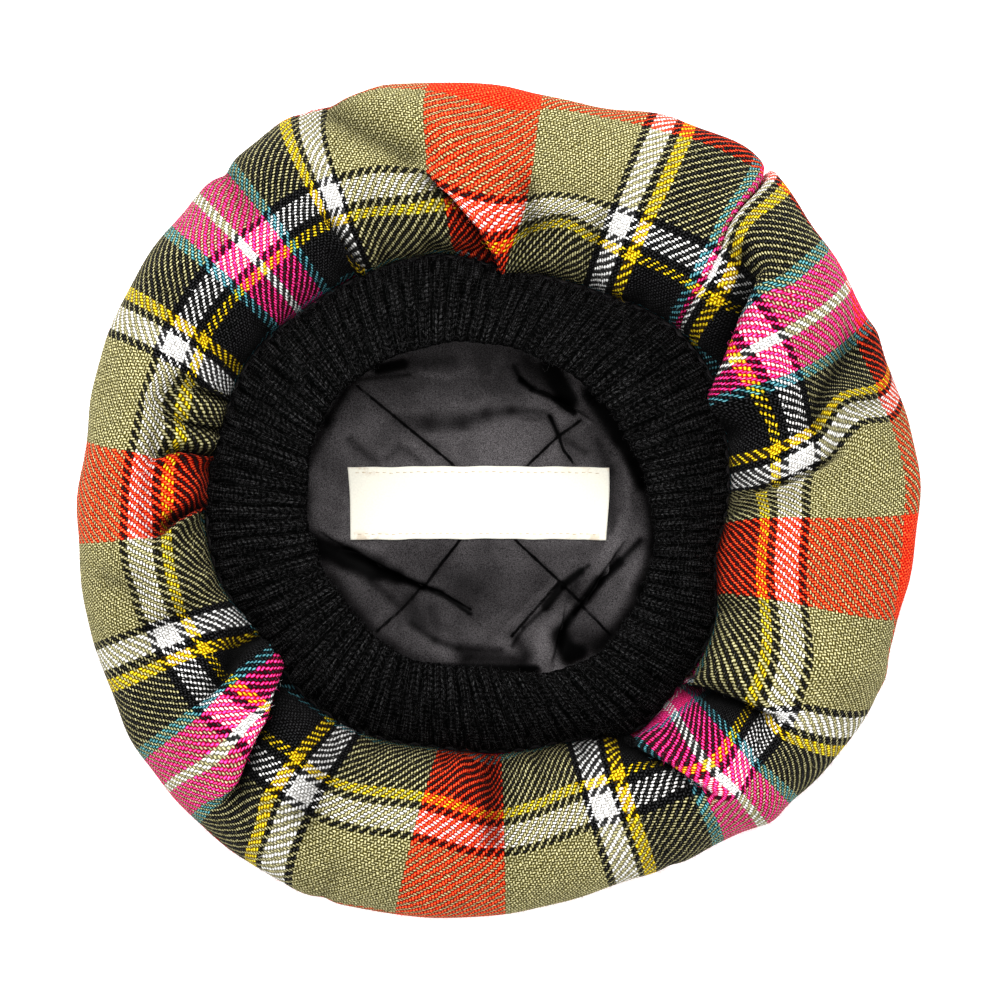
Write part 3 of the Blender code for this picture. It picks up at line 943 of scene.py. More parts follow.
class Finish:
    """A material, with short ways to add nodes to it."""

    def __init__(self, name):
        self.material = bpy.data.materials.new(name)
        self.material.use_nodes = True
        self.tree = self.material.node_tree
        self.shader = self.tree.nodes["Principled BSDF"]

    def feed(self, socket, value):
        """Links a node's output to a socket, or sets the socket's value."""
        if isinstance(value, bpy.types.NodeSocket):
            self.tree.links.new(value, socket)
        else:
            socket.default_value = value

    def node(self, kind, inputs=None, **settings):
        """A new node with its inputs fed and its settings made."""
        node = self.tree.nodes.new(kind)
        for key, value in settings.items():
            setattr(node, key, value)
        for key, value in (inputs or {}).items():
            self.feed(node.inputs[key], value)
        return node

    def math(self, operation, *values):
        return self.node("ShaderNodeMath", dict(enumerate(values)), operation=operation).outputs[0]

    def scaled(self, value, factor, more):
        """A value times a factor, and something more."""
        return self.math("MULTIPLY_ADD", value, factor, more)

    def product(self, first, *others):
        """All the values multiplied together."""
        for other in others:
            first = self.math("MULTIPLY", first, other)
        return first

    def wave(self, value, length):
        """A sine wave along a value, with the length of one wave."""
        return self.math("SINE", self.math("MULTIPLY", value, 2 * math.pi / length))

    def remap(self, value, low, high, to_low=0.0, to_high=1.0):
        """A smooth step from one value to another."""
        inputs = {0: value, 1: low, 2: high, 3: to_low, 4: to_high}
        node = self.node("ShaderNodeMapRange", inputs, interpolation_type="SMOOTHSTEP")
        return node.outputs[0]

    def mix(self, share, one, other, blend="MIX"):
        inputs = {0: share, 6: one, 7: other}
        node = self.node("ShaderNodeMix", inputs, data_type="RGBA", blend_type=blend)
        return node.outputs[2]

    def mix_value(self, share, one, other):
        inputs = {0: share, 2: one, 3: other}
        return self.node("ShaderNodeMix", inputs, data_type="FLOAT").outputs[0]

    def joined(self, x, y, z=0.0):
        """A vector from its parts."""
        return self.node("ShaderNodeCombineXYZ", {0: x, 1: y, 2: z}).outputs[0]

    def lit(self, colour, light):
        """A colour times a brightness."""
        return self.mix(1.0, colour, self.joined(light, light, light), "MULTIPLY")

    def uv(self, name):
        """A UV map as a vector."""
        return self.node("ShaderNodeUVMap", uv_map=name).outputs[0]

    def parts(self, vector):
        """The first two parts of a vector."""
        split = self.node("ShaderNodeSeparateXYZ", {0: vector})
        return split.outputs[0], split.outputs[1]

    def place(self):
        """Where a point lies in the cap's own frame."""
        return self.node("ShaderNodeTexCoord").outputs["Object"]

    def noise(self, vector, scale, detail=2.0, rough=0.5):
        inputs = {"Vector": vector, "Scale": scale, "Detail": detail, "Roughness": rough}
        return self.node("ShaderNodeTexNoise", inputs).outputs["Fac"]

    def set(self, **values):
        """Feeds the shader's sockets, by their names with _ for a space."""
        for key, value in values.items():
            self.feed(self.shader.inputs[key.replace("_", " ")], value)

    def set_relief(self, height, distance, strength):
        """Fine relief of the surface: what it follows, how deep it is, and how strong."""
        inputs = {"Height": height, "Distance": distance, "Strength": strength}
        self.set(Normal=self.node("ShaderNodeBump", inputs).outputs[0])


def colour4(values):
    """A colour as the sockets take it."""
    return (*values, 1.0)


def sett_ramp(finish, position, cloth):
    """The thread's colour at a place in the repeat, as a ramp with sharp steps."""
    node = finish.node("ShaderNodeValToRGB", {0: position})
    ramp = node.color_ramp
    ramp.interpolation = "CONSTANT"
    start = 0.0
    for index, (end, thread) in enumerate(SETT):
        place = start / SETT_HALF
        element = ramp.elements[0] if index == 0 else ramp.elements.new(place)
        element.position = place
        element.color = colour4(getattr(cloth, thread))
        start = end
    ramp.elements.remove(ramp.elements[-1])
    return node.outputs[0]


def threads(finish, length, pitch, start, direction):
    """One set of threads: which thread, how far across it, and its place in the repeat."""
    count = finish.math("DIVIDE", length, pitch)
    index = finish.math("FLOOR", count)
    across = finish.math("FRACT", count)
    step = pitch * direction
    middle = finish.scaled(index, step, start * MM + step / 2)
    folded = finish.math("PINGPONG", middle, SETT_HALF * MM)
    return index, across, finish.math("DIVIDE", folded, SETT_HALF * MM)


def float_oval(finish, along, across, width, ends):
    """A thread's float as an oval: 0 along its middle, 1 at its edge. It is two threads long."""
    along = finish.math("MULTIPLY", along, 0.5)
    end = finish.math("ABSOLUTE", finish.scaled(along, 2.0, -1.0))
    side = finish.scaled(across, 2.0, -1.0)
    side = finish.math("DIVIDE", finish.math("MULTIPLY", side, side), width * width)
    return finish.scaled(finish.math("POWER", end, 3.0), ends, side)


def twill(finish, along, across, cloth):
    """Which threads lie on top in the twill, their ovals, and the colours of both sets."""
    warp, warp_across, warp_place = threads(finish, along, cloth.yarn, WARP_START, 1.0)
    weft, weft_across, weft_place = threads(finish, across, cloth.yarn, WEFT_START, -1.0)
    # Of every four threads two pass over and two under.
    step = finish.math("FLOORED_MODULO", finish.math("SUBTRACT", warp, weft), 4.0)
    ahead = finish.math("SUBTRACT", finish.math("ADD", weft_across, 1.0), step)
    behind = finish.math("ADD", finish.math("SUBTRACT", step, 2.0), warp_across)
    weft_over = finish.math("GREATER_THAN", step, 1.5)
    oval = finish.mix_value(
        weft_over,
        float_oval(finish, ahead, warp_across, *WARP_FLOAT),
        float_oval(finish, behind, weft_across, *WEFT_FLOAT),
    )
    warp_colour = sett_ramp(finish, warp_place, cloth)
    weft_colour = sett_ramp(finish, weft_place, cloth)
    return weft_over, oval, warp_colour, weft_colour


def yarn_colour(finish, stray, weft_over, oval, rounded, warp_colour, weft_colour):
    """The colour of the yarns on top, with stray hairs of the others, and of the gaps."""
    above = finish.mix(weft_over, warp_colour, weft_colour)
    crossing = finish.mix(weft_over, weft_colour, warp_colour)
    above = finish.mix(stray, finish.mix(0.13, above, crossing, "DARKEN"), crossing)
    # The gaps show the warp, and lose light to the weft.
    below = finish.mix(0.58, warp_colour, weft_colour, "DARKEN")
    colour = finish.mix(finish.remap(oval, 0.95, 0.75), below, above)
    # Painted shade: the colour deepens from each yarn's middle into the gaps.
    deep = finish.scaled(rounded, -GAP_DEPTH, 1.0 + GAP_DEPTH)
    return finish.node("ShaderNodeGamma", {0: colour, 1: deep}).outputs[0]


def make_tartan(name, cloth, fuzzy=False):
    """Two and two twill in the tartan, from the cloth's own UV map in metres."""
    finish = Finish(name)
    vector = finish.uv("cloth")
    along, across = finish.parts(vector)
    # Painted shade of the creases, carried in the strip's "folds" map.
    shade = finish.parts(finish.uv("folds"))[0]
    wobble = finish.noise(vector, 520.0, 2.0)
    wobble = finish.scaled(wobble, 0.9 * MM, -0.45 * MM)
    along = finish.math("ADD", along, wobble)
    across = finish.math("SUBTRACT", across, wobble)
    weft_over, oval, *colours = twill(finish, along, across, cloth)
    fibre = finish.noise(vector, 1500.0, 3.0, 0.7)
    oval = finish.math("ADD", oval, finish.scaled(fibre, 1.9, -0.95))
    rounded = finish.remap(oval, 0.95, 0.0)
    stray = finish.remap(finish.noise(vector, 1150.0, 2.0, 0.6), 0.59, 0.69, 0.0, 0.5)
    colour = yarn_colour(finish, stray, weft_over, oval, rounded, *colours)
    tone = finish.noise(vector, 820.0, 1.0)
    patches = finish.noise(finish.place(), 45.0, 2.0)
    # Painted light and shade: yarn tops lighter, gaps between floats darker, and the painted shade
    # of the folds; tone and patches vary at random.
    light = finish.product(
        finish.scaled(rounded, 0.9, 0.76),
        finish.remap(oval, 1.0, 1.7, 1.0, 0.25),
        finish.remap(tone, 0.3, 0.7, 0.68, 1.32),
        finish.remap(patches, 0.3, 0.7, 0.94, 1.06),
        finish.scaled(shade, -0.93, 1.0),
    )
    colour = finish.lit(colour, light)
    # Brightness never takes a colour past white.
    colour.node.clamp_result = True
    finish.set(Base_Color=colour, Roughness=finish.remap(fibre, 0.2, 0.8, 0.98, 0.88))
    finish.set(Sheen_Weight=0.01, Sheen_Roughness=0.5, Specular_IOR_Level=0.03)
    if not fuzzy:
        finish.set_relief(finish.scaled(fibre, 0.6, rounded), 0.35 * MM, 0.9)
    return finish.material


def knit_strands(finish, rib, row):
    """How high the leaning strands of the stitches lie, from 0 to 1, and which they are."""
    out = finish.math("PINGPONG", finish.math("FRACT", rib), 0.5)
    out = finish.math("SUBTRACT", 0.5, out)
    lean = finish.scaled(out, KNIT_LEAN, row)
    rise = finish.remap(out, 0.5, 0.15)
    middle = finish.remap(out, 0.0, 0.13, 0.2, 1.0)
    strand = finish.remap(finish.wave(lean, 1.0), -0.9, 0.7)
    return finish.product(strand, finish.product(rise, middle)), lean


def make_knit(name, knit):
    """Ribs of fuzzy knit stitches, from a UV map of ribs and stitches."""
    finish = Finish(name)
    rib, row = finish.parts(finish.uv("knit"))
    place = finish.place()
    wobble = finish.noise(place, 520.0, 3.0, 0.6)
    straight = finish.scaled(wobble, 0.05, rib)
    row = finish.math("ADD", row, finish.math("MULTIPLY", wobble, 1.6))
    rib = finish.math("ADD", rib, finish.scaled(wobble, 0.3, -0.15))
    strand, lean = knit_strands(finish, rib, row)
    drawn = finish.joined(finish.product(rib, 6.5), finish.product(lean, 1.1))
    along = finish.joined(finish.product(straight, 8.6), finish.product(row, 0.1))
    fuzz = finish.noise(place, 3500.0, 2.0, 0.7)
    hairs = finish.noise(place, 5000.0, 1.0, 0.6)
    lines = finish.noise(drawn, 1.6, 2.0, 0.6)
    # Painted light and shade: strand tops lighter and the gaps between stitches darker; the bright
    # specks and streaks of fuzz stand partly for the wool's own mottle and partly for painted
    # glints on its fibres, as the shader's sheen and specular are off.
    light = finish.product(
        finish.scaled(strand, 1.0, 0.22),
        finish.remap(fuzz, 0.4, 0.61, 0.03, 4.3),
        finish.remap(finish.noise(along, 1.5, 1.0, 0.5), 0.46, 0.64, 0.5, 2.7),
        finish.remap(hairs, 0.3, 0.7, 0.4, 1.8),
        finish.remap(lines, 0.35, 0.65, 0.5, 1.6),
    )
    finish.set(Base_Color=finish.lit(colour4(knit.colour), light))
    finish.set(Roughness=finish.remap(fuzz, 0.2, 0.8, 1.0, 0.9))
    finish.set(Sheen_Weight=0.0, Specular_IOR_Level=0.0)
    relief = finish.scaled(fuzz, 1.4, finish.product(strand, 0.6))
    finish.set_relief(relief, 0.45 * MM, 0.9)
    return finish.material


def make_satin(name, lining):
    """Dark satin, from a UV map of the distance to a quilting seam and the folds' shade."""
    finish = Finish(name)
    distance, shade = finish.parts(finish.uv("quilting"))
    place = finish.place()
    grain = finish.noise(place, 3300.0, 2.0, 0.7)
    cloud = finish.noise(place, 60.0, 3.0, 0.55)
    wander = finish.noise(place, 380.0, 2.0, 0.6)
    near = finish.scaled(wander, 0.7 * MM, -0.35 * MM)
    near = finish.math("ADD", distance, near)
    # Darker along and towards each quilting seam; the folds' painted shade and highlights come from
    # the map, and the cloud is a painted soft sheen, as the shader's own specular is nearly off;
    # the grain is the cloth's own.
    light = finish.product(
        finish.remap(near, 0.26 * MM, 0.72 * MM, 0.03, 1.0),
        finish.remap(near, 0.5 * MM, 2.6 * MM, 0.78, 1.0),
        finish.math("SUBTRACT", 1.0, shade),
        finish.remap(grain, 0.335, 0.665, 0.28, 1.88),
        finish.remap(cloud, 0.3, 0.7, 0.68, 1.3),
    )
    finish.set(Base_Color=finish.lit(colour4(lining.colour), light))
    finish.set(Roughness=finish.remap(cloud, 0.3, 0.7, 0.4, 0.5))
    finish.set(Specular_IOR_Level=0.01, Sheen_Weight=0.0)
    finish.set_relief(finish.scaled(grain, 0.15, cloud), 0.5 * MM, 0.35)
    return finish.material


def make_tape(name, label):
    """Cream woven tape with fine cross ribs, a little rubbed and tanned at its corners."""
    finish = Finish(name)
    vector = finish.uv("cloth")
    along, across = finish.parts(vector)
    weave = finish.product(finish.wave(across, 0.42 * MM), finish.wave(along, 0.5 * MM))
    grain = finish.noise(vector, 1500.0, 3.0, 0.6)
    stain = finish.noise(vector, 240.0, 3.0, 0.6)
    width, length = label.width, label.length
    tan = finish.product(
        finish.remap(finish.math("ABSOLUTE", across), width * 0.34, width * 0.47),
        finish.remap(finish.math("ABSOLUTE", along), length * 0.28, length * 0.44),
        finish.remap(stain, 0.46, 0.62),
        0.5,
    )
    colour = finish.mix(tan, colour4(label.colour), colour4(LABEL_STAIN))
    light = finish.product(
        finish.scaled(weave, 0.035, 1.0),
        finish.remap(grain, 0.3, 0.7, 0.95, 1.03),
    )
    finish.set(Base_Color=finish.lit(colour, light))
    finish.set(Roughness=finish.remap(grain, 0.2, 0.8, 0.7, 0.6))
    finish.set(Sheen_Weight=0.08, Specular_IOR_Level=0.3)
    finish.set_relief(finish.math("ADD", weave, grain), 0.08 * MM, 0.6)
    return finish.material


def make_thread(name, colour, twist=0.5 * MM, gloss=0.5):
    """Sewing thread with a fine twist."""
    finish = Finish(name)
    grain = finish.noise(finish.place(), 1.0 / twist, 2.0, 0.6)
    light = finish.remap(grain, 0.3, 0.7, 0.75, 1.2)
    finish.set(Base_Color=finish.lit(colour4(colour), light))
    finish.set(Roughness=finish.remap(grain, 0.2, 0.8, 0.8, gloss), Specular_IOR_Level=0.25)
    finish.set_relief(grain, 0.05 * MM, 0.5)
    return finish.material


# ---------------------------------------------------------------- the strip


def course_angles(length, level):
    """Where the strip's threads lie: angles for places along it, at levels band to foot."""
    table = np.array(COURSES)
    reach = max(int(len(length) * COURSE_SMOOTHING / STRIP_LENGTH), 1)
    outline, crest, band = (
        smoothed(np.interp(length, table[:, 0], column), reach) for column in table[:, 1:].T
    )
    level = level[:, None]
    low, high = np.clip(level, 0.0, 1.0), np.clip(level - 1.0, 0.0, 1.0)
    bend = (outline - band) / 2
    lower = hermite(low, band, crest, crest - band, bend)
    upper = hermite(high, crest, outline, bend, outline - crest)
    return np.where(level < 1.0, lower, upper)


def strip_section(angle, level):
    """Radius and height of the strip and of its outward normal; level 0 band to 3 foot."""
    seam, crest, outline, puff = (around(SECTIONS, c, angle) for c in (SEAM, CREST, OUTLINE, PUFF))
    level = np.broadcast_to(level[:, None], angle.shape)
    inside, above = level < 1.0, level < 2.0
    centre = np.where(above, crest, outline - FOOT_INSET)
    height = np.where(inside, SEAM_Z, EQUATOR_Z)
    across = np.select([inside, above], [crest - seam, outline - crest], FOOT_INSET)
    up = np.select([inside, above], [puff - SEAM_Z, puff - EQUATOR_Z], EQUATOR_Z - FOOT_Z)
    turn = np.pi - level * np.pi / 2
    normal = np.stack([np.cos(turn) / across, np.sin(turn) / up], axis=-1)
    normal /= np.linalg.norm(normal, axis=-1, keepdims=True)
    return centre + across * np.cos(turn), height + up * np.sin(turn), normal


def strip_levels():
    """The levels of the strip's rows, from its sewn edge to its foot."""
    parts = [np.linspace(i, i + 1, n, endpoint=False) for i, n in enumerate(STRIP_STEPS)]
    return np.concatenate(parts + [[3.0]])


def strip_lift(plan, length, course):
    """Sideways shift, height and shade of all the strip's tucks, folds and puckers."""
    shift = np.zeros(plan.shape)
    lift = np.zeros(plan.shape[:-1])
    inward = course - course[0]
    depth, reach = SEAM_SHADE
    shade = depth * np.exp(-inward / reach)
    for edge, *shape in TUCKS:
        edge = [compass(angle) * radius for angle, radius in edge]
        moved, raised, dark = tuck(plan, edge, *shape)
        shift += moved
        lift += raised
        shade = np.maximum(shade, dark * min(shape[-1] / SHADE_FULL + 0.25, 1.0))
    for a1, r1, a2, r2, width, height in FOLDS:
        raised = furrow(plan, compass(a1) * r1, compass(a2) * r2, width, height)
        lift += raised
        shade = np.maximum(shade, np.clip(-raised / SHADE_FULL, 0.0, 0.8))
    for x, y, reach, right, up in PUSHES:
        near = np.exp(-(((plan - (x, y)) / reach) ** 2).sum(axis=-1))
        shift += near[..., None] * (right, up)
    for a1, r1, a2, r2, width, dark in STRIP_SHADES:
        distance = line_distance(plan + shift, compass(a1) * r1, compass(a2) * r2)
        shade = np.maximum(shade, dark * np.exp(-((distance / width) ** 2)))
    ruffle = strip_puckers(length, inward)
    lift += ruffle
    shade = np.maximum(shade, np.clip(-ruffle / PUCKER_SHADE_FULL, 0.0, 0.5))
    return shift, lift, shade


def strip_puckers(length, inward):
    """Height of the small puckers along the strip's sewn edge."""
    edge = np.exp(-inward / PUCKER_FADE) * smoothstep(0.0, 5.0, inward)
    return edge * sum(
        height * np.sin(2 * np.pi * length / wave + start) for wave, height, start in PUCKERS
    )


def strip_ripples(length, course):
    """A slight unevenness of the whole strip."""
    return sum(
        height * np.sin(2 * np.pi * (length / along + course / across) + start)
        for along, across, start, height in RIPPLES
    )


def drawn_together(course, angle):
    """The courses from the crest, with more of them where the strip is drawn together."""
    share = 1.0
    for middle, reach, inside, outside in DRAWN:
        turn = (angle - middle + 180.0) % 360.0 - 180.0
        share = share + np.where(course > 0, outside, inside) * np.exp(-((turn / reach) ** 2))
    return course * share


def held_at_seam(plan, inward):
    """Keeps the cloth no further from the band than it reaches from its sewn edge."""
    radius = np.linalg.norm(plan, axis=-1)
    angle = np.degrees(np.arctan2(plan[..., 1], plan[..., 0]))
    beyond = np.maximum(radius - around(SECTIONS, SEAM, angle) - inward, 0.0)
    return plan * (1.0 - beyond / radius)[..., None]


def strip_grid():
    """The strip's outer face as points, places in the cloth and shade."""
    length = np.linspace(COURSES[0][0], COURSES[-1][0], STRIP_COLUMNS)
    level = strip_levels()
    angle = course_angles(length, level)
    radius, height, normal = strip_section(angle, level)
    steps = np.hypot(np.diff(radius, axis=0), np.diff(height, axis=0))
    reached = np.vstack([np.zeros(STRIP_COLUMNS), np.cumsum(steps, axis=0)])
    course = drawn_together(reached - reached[STRIP_STEPS[0]], angle) + CREST_COURSE
    plan = compass(angle) * radius[..., None]
    shift, lift, shade = strip_lift(plan, length[None, :], course)
    above_foot = smoothstep(3.0, FOLDS_FADE, level)[:, None]
    ends = smoothstep(0.0, FOLDS_FULL, level)[:, None] * above_foot
    lift = (lift + strip_ripples(length[None, :], course)) * ends
    shift = shift * above_foot[..., None]
    to_end = np.minimum(length - length[0], length[-1] - length)
    join = JOIN_DEPTH * np.exp(-to_end / JOIN_WIDTH)
    lift = lift - join[None, :] * smoothstep(3.0, 2.7, level)[:, None]
    plan = held_at_seam(plan + shift, reached)
    plan = plan + compass(angle) * (normal[..., 0] * lift)[..., None]
    points = np.concatenate([plan, (height + normal[..., 1] * lift)[..., None]], axis=-1)
    places = np.stack(np.broadcast_arrays(length[None, :] * MM, course * MM), axis=-1)
    return points, places, np.stack([shade, np.zeros(shade.shape)], axis=-1)


def turned_in(points, places):
    """The strip with its foot turned up inside, as it is sewn to the round top."""
    inward = points[-1].copy()
    inward[:, :2] *= 1.0 - 0.5 / np.linalg.norm(inward[:, :2], axis=-1, keepdims=True)
    rows, maps = [], []
    for share in (0.4, 1.0):
        row = inward.copy()
        row[:, 2] += FOOT_TURN * share
        rows.append(row)
        place = places[-1].copy()
        place[:, 1] += FOOT_TURN * share * MM
        maps.append(place)
    return np.concatenate([points, np.array(rows)]), np.concatenate([places, np.array(maps)])


def make_strip_mesh(cloth):
    """The strip as a mesh, with its outer face, that face's normals, and its maps."""
    points, places, shade = strip_grid()
    points, places = turned_in(points, places)
    shade = np.concatenate([shade, shade[-1:], shade[-1:]])
    normals = grid_normals(points)
    inner = points - normals * cloth.thickness / MM
    inner[..., 2] = np.maximum(inner[..., 2], 0.3)
    body = np.concatenate([points, inner[::-1]])
    # The "folds" map carries the painted shade of the creases into the cloth's colour.
    maps = {
        "cloth": np.concatenate([places, places[::-1]]),
        "folds": np.concatenate([shade, shade[::-1]]),
    }
    mesh = grid_mesh("tartan_strip_cloth", body, maps, wrap_rows=True)
    return mesh, points, normals, maps


class TAM_OT_sew_strip(bpy.types.Operator):
    """Gather the tartan strip between the round top and the band"""

    bl_idname = "tam.sew_strip"
    bl_label = "Tartan strip"

    def execute(self, context):
        cloth = context.scene.tam_cloth
        mesh, points, normals, maps = make_strip_mesh(cloth)
        tartan = make_tartan("tartan_strip", cloth)
        piece = add_piece("tartan_strip_cloth", mesh, tartan, "crown_side")
        fibres = strip_fibres(cloth, points, normals, maps)
        fuzz = make_tartan("tartan_fibres", cloth, fuzzy=True)
        add_piece("tartan_fibres", fibres, fuzz)
        return {"FINISHED"}


def strip_fibres(cloth, points, normals, maps):
    """Short loose fibres on the strip, each the colour of its thread."""
    source = np.random.default_rng(11)
    count = cloth.fibres
    *lengths, radius = CLOTH_FIBRES
    rows = source.integers(2, points.shape[0] - 4, count)
    columns = source.integers(1, points.shape[1] - 1, count)
    out = normals[rows, columns]
    tangent, length = loose_ends(source, out, *lengths)
    share = np.linspace(0.0, 1.0, 3)[None, :, None]
    lean = source.uniform(0.5, 1.1, (count, 1, 1))
    rise = source.uniform(0.3, 0.8, (count, 1, 1))
    paths = length * (tangent * lean * share + out[:, None, :] * rise * np.sin(share * 2.0))
    maps = {key: grid[rows, columns] for key, grid in maps.items()}
    return strands("tartan_fibres", points[rows, columns], paths, radius, maps)


# ---------------------------------------------------------------- the round top


def make_top_mesh(cloth):
    """The round top, its edge turned up to the seam with the strip."""
    angle = np.linspace(0.0, 360.0, TOP_COLUMNS, endpoint=False)
    rim = around(SECTIONS, OUTLINE, angle) - FOOT_INSET - GAP - 0.4
    radius = rim[None, :] * np.linspace(0.004, 1.0, TOP_RINGS)[:, None]
    rise, reach = TOP_WAVE
    height = TOP_Z + rise * np.sin(radius / reach) ** 2
    for inset, up in TOP_EDGE:
        radius = np.vstack([radius, rim[None, :] - inset])
        height = np.vstack([height, np.full((1, TOP_COLUMNS), up)])
    plan = compass(angle)[None, :, :] * radius[..., None]
    lower = np.concatenate([plan, height[..., None]], axis=-1)
    thick = cloth.thickness / MM
    upper = lower.copy()
    upper[:TOP_RINGS, :, 2] += thick
    upper[TOP_RINGS:, :, :2] *= 1.0 - thick / radius[TOP_RINGS:, :, None]
    flat = np.concatenate([plan, plan[::-1]]) * MM
    flat = np.concatenate([flat, flat[:, :1]], axis=1)
    maps = {"cloth": flat, "folds": np.zeros(flat.shape)}
    body = np.concatenate([lower, upper[::-1]])
    return grid_mesh("tartan_top_cloth", body, maps, wrap_columns=True)


class TAM_OT_sew_top(bpy.types.Operator):
    """Sew the round tartan top that the cap lies on"""

    bl_idname = "tam.sew_top"
    bl_label = "Round top"

    def execute(self, context):
        cloth = context.scene.tam_cloth
        mesh = make_top_mesh(cloth)
        tartan = make_tartan("tartan_top", cloth)
        piece = add_piece("tartan_top_cloth", mesh, tartan, "crown_top")
        rim = (around(SECTIONS, OUTLINE, np.arange(0.0, 360.0, 1.0)) - FOOT_INSET) * MM
        return {"FINISHED"}


# ---------------------------------------------------------------- the band


def band_path(thickness):
    """Turns along the band's middle line and offsets from it, up, over and down inside."""
    half = thickness / 2
    outside, edge, inside = BAND_STEPS
    up = [(turn, half, 0.0) for turn in np.linspace(0.0, 90.0, outside)]
    bend = np.linspace(0.0, np.pi, edge + 2)[1:-1]
    over = [(90.0, half * math.cos(turn), half * math.sin(turn)) for turn in bend]
    down = [(turn, -half, 0.0) for turn in np.linspace(90.0, 0.0, inside)]
    return np.array(up + over + down)


def band_grid(knit):
    """The band's surface as points, and places in ribs and stitches."""
    thickness = knit.thickness / MM
    columns = knit.ribs * BAND_POINTS_PER_RIB
    angle = np.linspace(0.0, 360.0, columns, endpoint=False)
    path = band_path(thickness)
    seam = compass(angle) * (around(SECTIONS, SEAM, angle) - GAP - thickness / 2)[:, None]
    edge = OPENING_MIDDLE + compass(angle) * (around(OPENING, 1, angle) + thickness / 2)[:, None]
    run = np.linalg.norm(edge - seam, axis=1)
    inward = (edge - seam) / run[:, None]
    rise = BAND_TOP_Z - SEAM_Z
    turn = np.radians(path[:, :1])
    normal = np.stack(np.broadcast_arrays(-np.cos(turn) * rise, np.sin(turn) * run), axis=-1)
    normal /= np.linalg.norm(normal, axis=-1, keepdims=True)
    row = along_path(path_line(path, run.mean(), rise)) / (knit.stitch / MM)
    offset, beyond = knit_relief(knit, path, angle, row)
    across = run[None, :] * (1.0 - np.cos(turn)) + normal[..., 0] * offset + beyond
    height = SEAM_Z + rise * np.sin(turn) + normal[..., 1] * offset
    plan = seam[None] + inward[None] * across[..., None]
    points = np.concatenate([plan, height[..., None]], axis=-1)
    ribs = np.arange(columns + 1) / BAND_POINTS_PER_RIB
    places = np.stack(np.broadcast_arrays(ribs[None, :], row[:, None]), axis=-1)
    return points, places


def knit_relief(knit, path, angle, row):
    """The path's offsets with furrows between the ribs, loops, and the edge's sway."""
    rib = np.arange(len(angle)) / BAND_POINTS_PER_RIB
    degrees, offset, beyond = path[:, :1], path[:, 1:2], path[:, 2:]
    raised = 0.5 - 0.5 * np.cos(2 * np.pi * rib)
    depth = knit.relief / MM * (1.0 - raised) ** 1.5
    depth = depth[None, :] * (1.0 - 0.6 * smoothstep(60.0, 88.0, degrees))
    loops = np.sign(offset) * knit_loops(rib, row)
    offset = offset - np.sign(offset) * depth - loops
    beyond = beyond - np.sign(beyond) * depth
    sway = waves_round(angle, BAND_SWAY)
    return offset, beyond + sway[None, :] * smoothstep(60.0, 90.0, degrees)


def along_path(line):
    """How far along a line each of its points lies."""
    steps = np.linalg.norm(np.diff(line, axis=0), axis=1)
    return np.concatenate([[0.0], np.cumsum(steps)])


def path_line(path, run, rise):
    """The band's section in its own plane, for measuring along it."""
    turn = np.radians(path[:, 0])
    across = run * (1.0 - np.cos(turn)) + path[:, 2]
    return np.stack([across, rise * np.sin(turn) + path[:, 1]], axis=-1)


def knit_loops(rib, row):
    """Depth between the stitches: each rib is a line of V-shaped loops."""
    out = 0.5 - np.abs((rib + 0.5) % 1.0 - 0.5)
    lean = row[:, None] + KNIT_LEAN * out[None, :]
    return LOOP_DEPTH * (0.5 - 0.5 * np.sin(2 * np.pi * lean)) * (out[None, :] < 0.42)


class TAM_OT_knit_band(bpy.types.Operator):
    """Knit the ribbed band and fold it over at the opening"""

    bl_idname = "tam.knit_band"
    bl_label = "Rib-knit band"

    def execute(self, context):
        knit = context.scene.tam_knit
        points, places = band_grid(knit)
        mesh = grid_mesh("rib_knit_band", points, {"knit": places}, True, True)
        wool = make_knit("black_knit", knit)
        piece = add_piece("rib_knit_band", mesh, wool, "rib_band")
        add_piece("band_fibres", band_fibres(knit, points), make_fuzz(knit))
        return {"FINISHED"}


def make_fuzz(knit):
    """The band's loose fibres, paler than the knit because light gets through them."""
    return make_thread("wool_fibres", [value * 9.0 for value in knit.colour], 0.8 * MM, 0.7)


def band_fibres(knit, points):
    """Loose wool fibres on the band, some long ones among many short ones."""
    source = np.random.default_rng(5)
    count = knit.fibres
    *lengths, radius = KNIT_FIBRES
    rows = source.integers(2, sum(BAND_STEPS[:2]) + 1, count)
    columns = source.integers(0, points.shape[1], count)
    out = grid_normals(points, wrap_columns=True)[rows, columns][:, None, :]
    tangent, length = loose_ends(source, out[:, 0], *lengths)
    share = np.linspace(0.0, 1.0, 4)[None, :, None]
    curl = np.cross(out, tangent) * source.uniform(-0.5, 0.5, (count, 1, 1))
    rise = source.uniform(0.2, 0.7, (count, 1, 1))
    paths = tangent * share * 0.9 + out * rise * np.sin(share * 2.6) + curl * share ** 2
    return strands("band_fibres", points[rows, columns], length * paths, radius)


# ---------------------------------------------------------------- the lining


def floor_height(plan):
    """The height of the lining's floor, with its quilting and soft folds."""
    offset = plan - QUILT_MIDDLE
    one = np.sin(np.pi * (offset[..., 0] + offset[..., 1]) / math.sqrt(2.0) / QUILT_PITCH)
    other = np.sin(np.pi * (offset[..., 0] - offset[..., 1]) / math.sqrt(2.0) / QUILT_PITCH)
    height = LINING_FLOOR_Z + QUILT_RISE * np.sqrt(np.abs(one * other) + 0.01)
    for x1, y1, x2, y2, width, rise in LINING_FOLDS:
        height = height + furrow(plan, (x1, y1), (x2, y2), width, rise, 0.8)
    return height


def seam_distance(plan):
    """Distance from the nearest quilting seam."""
    distance = np.full(plan.shape[:-1], np.inf)
    for x1, y1, x2, y2 in QUILT_SEAMS:
        distance = np.minimum(distance, line_distance(plan, (x1, y1), (x2, y2)))
    return distance


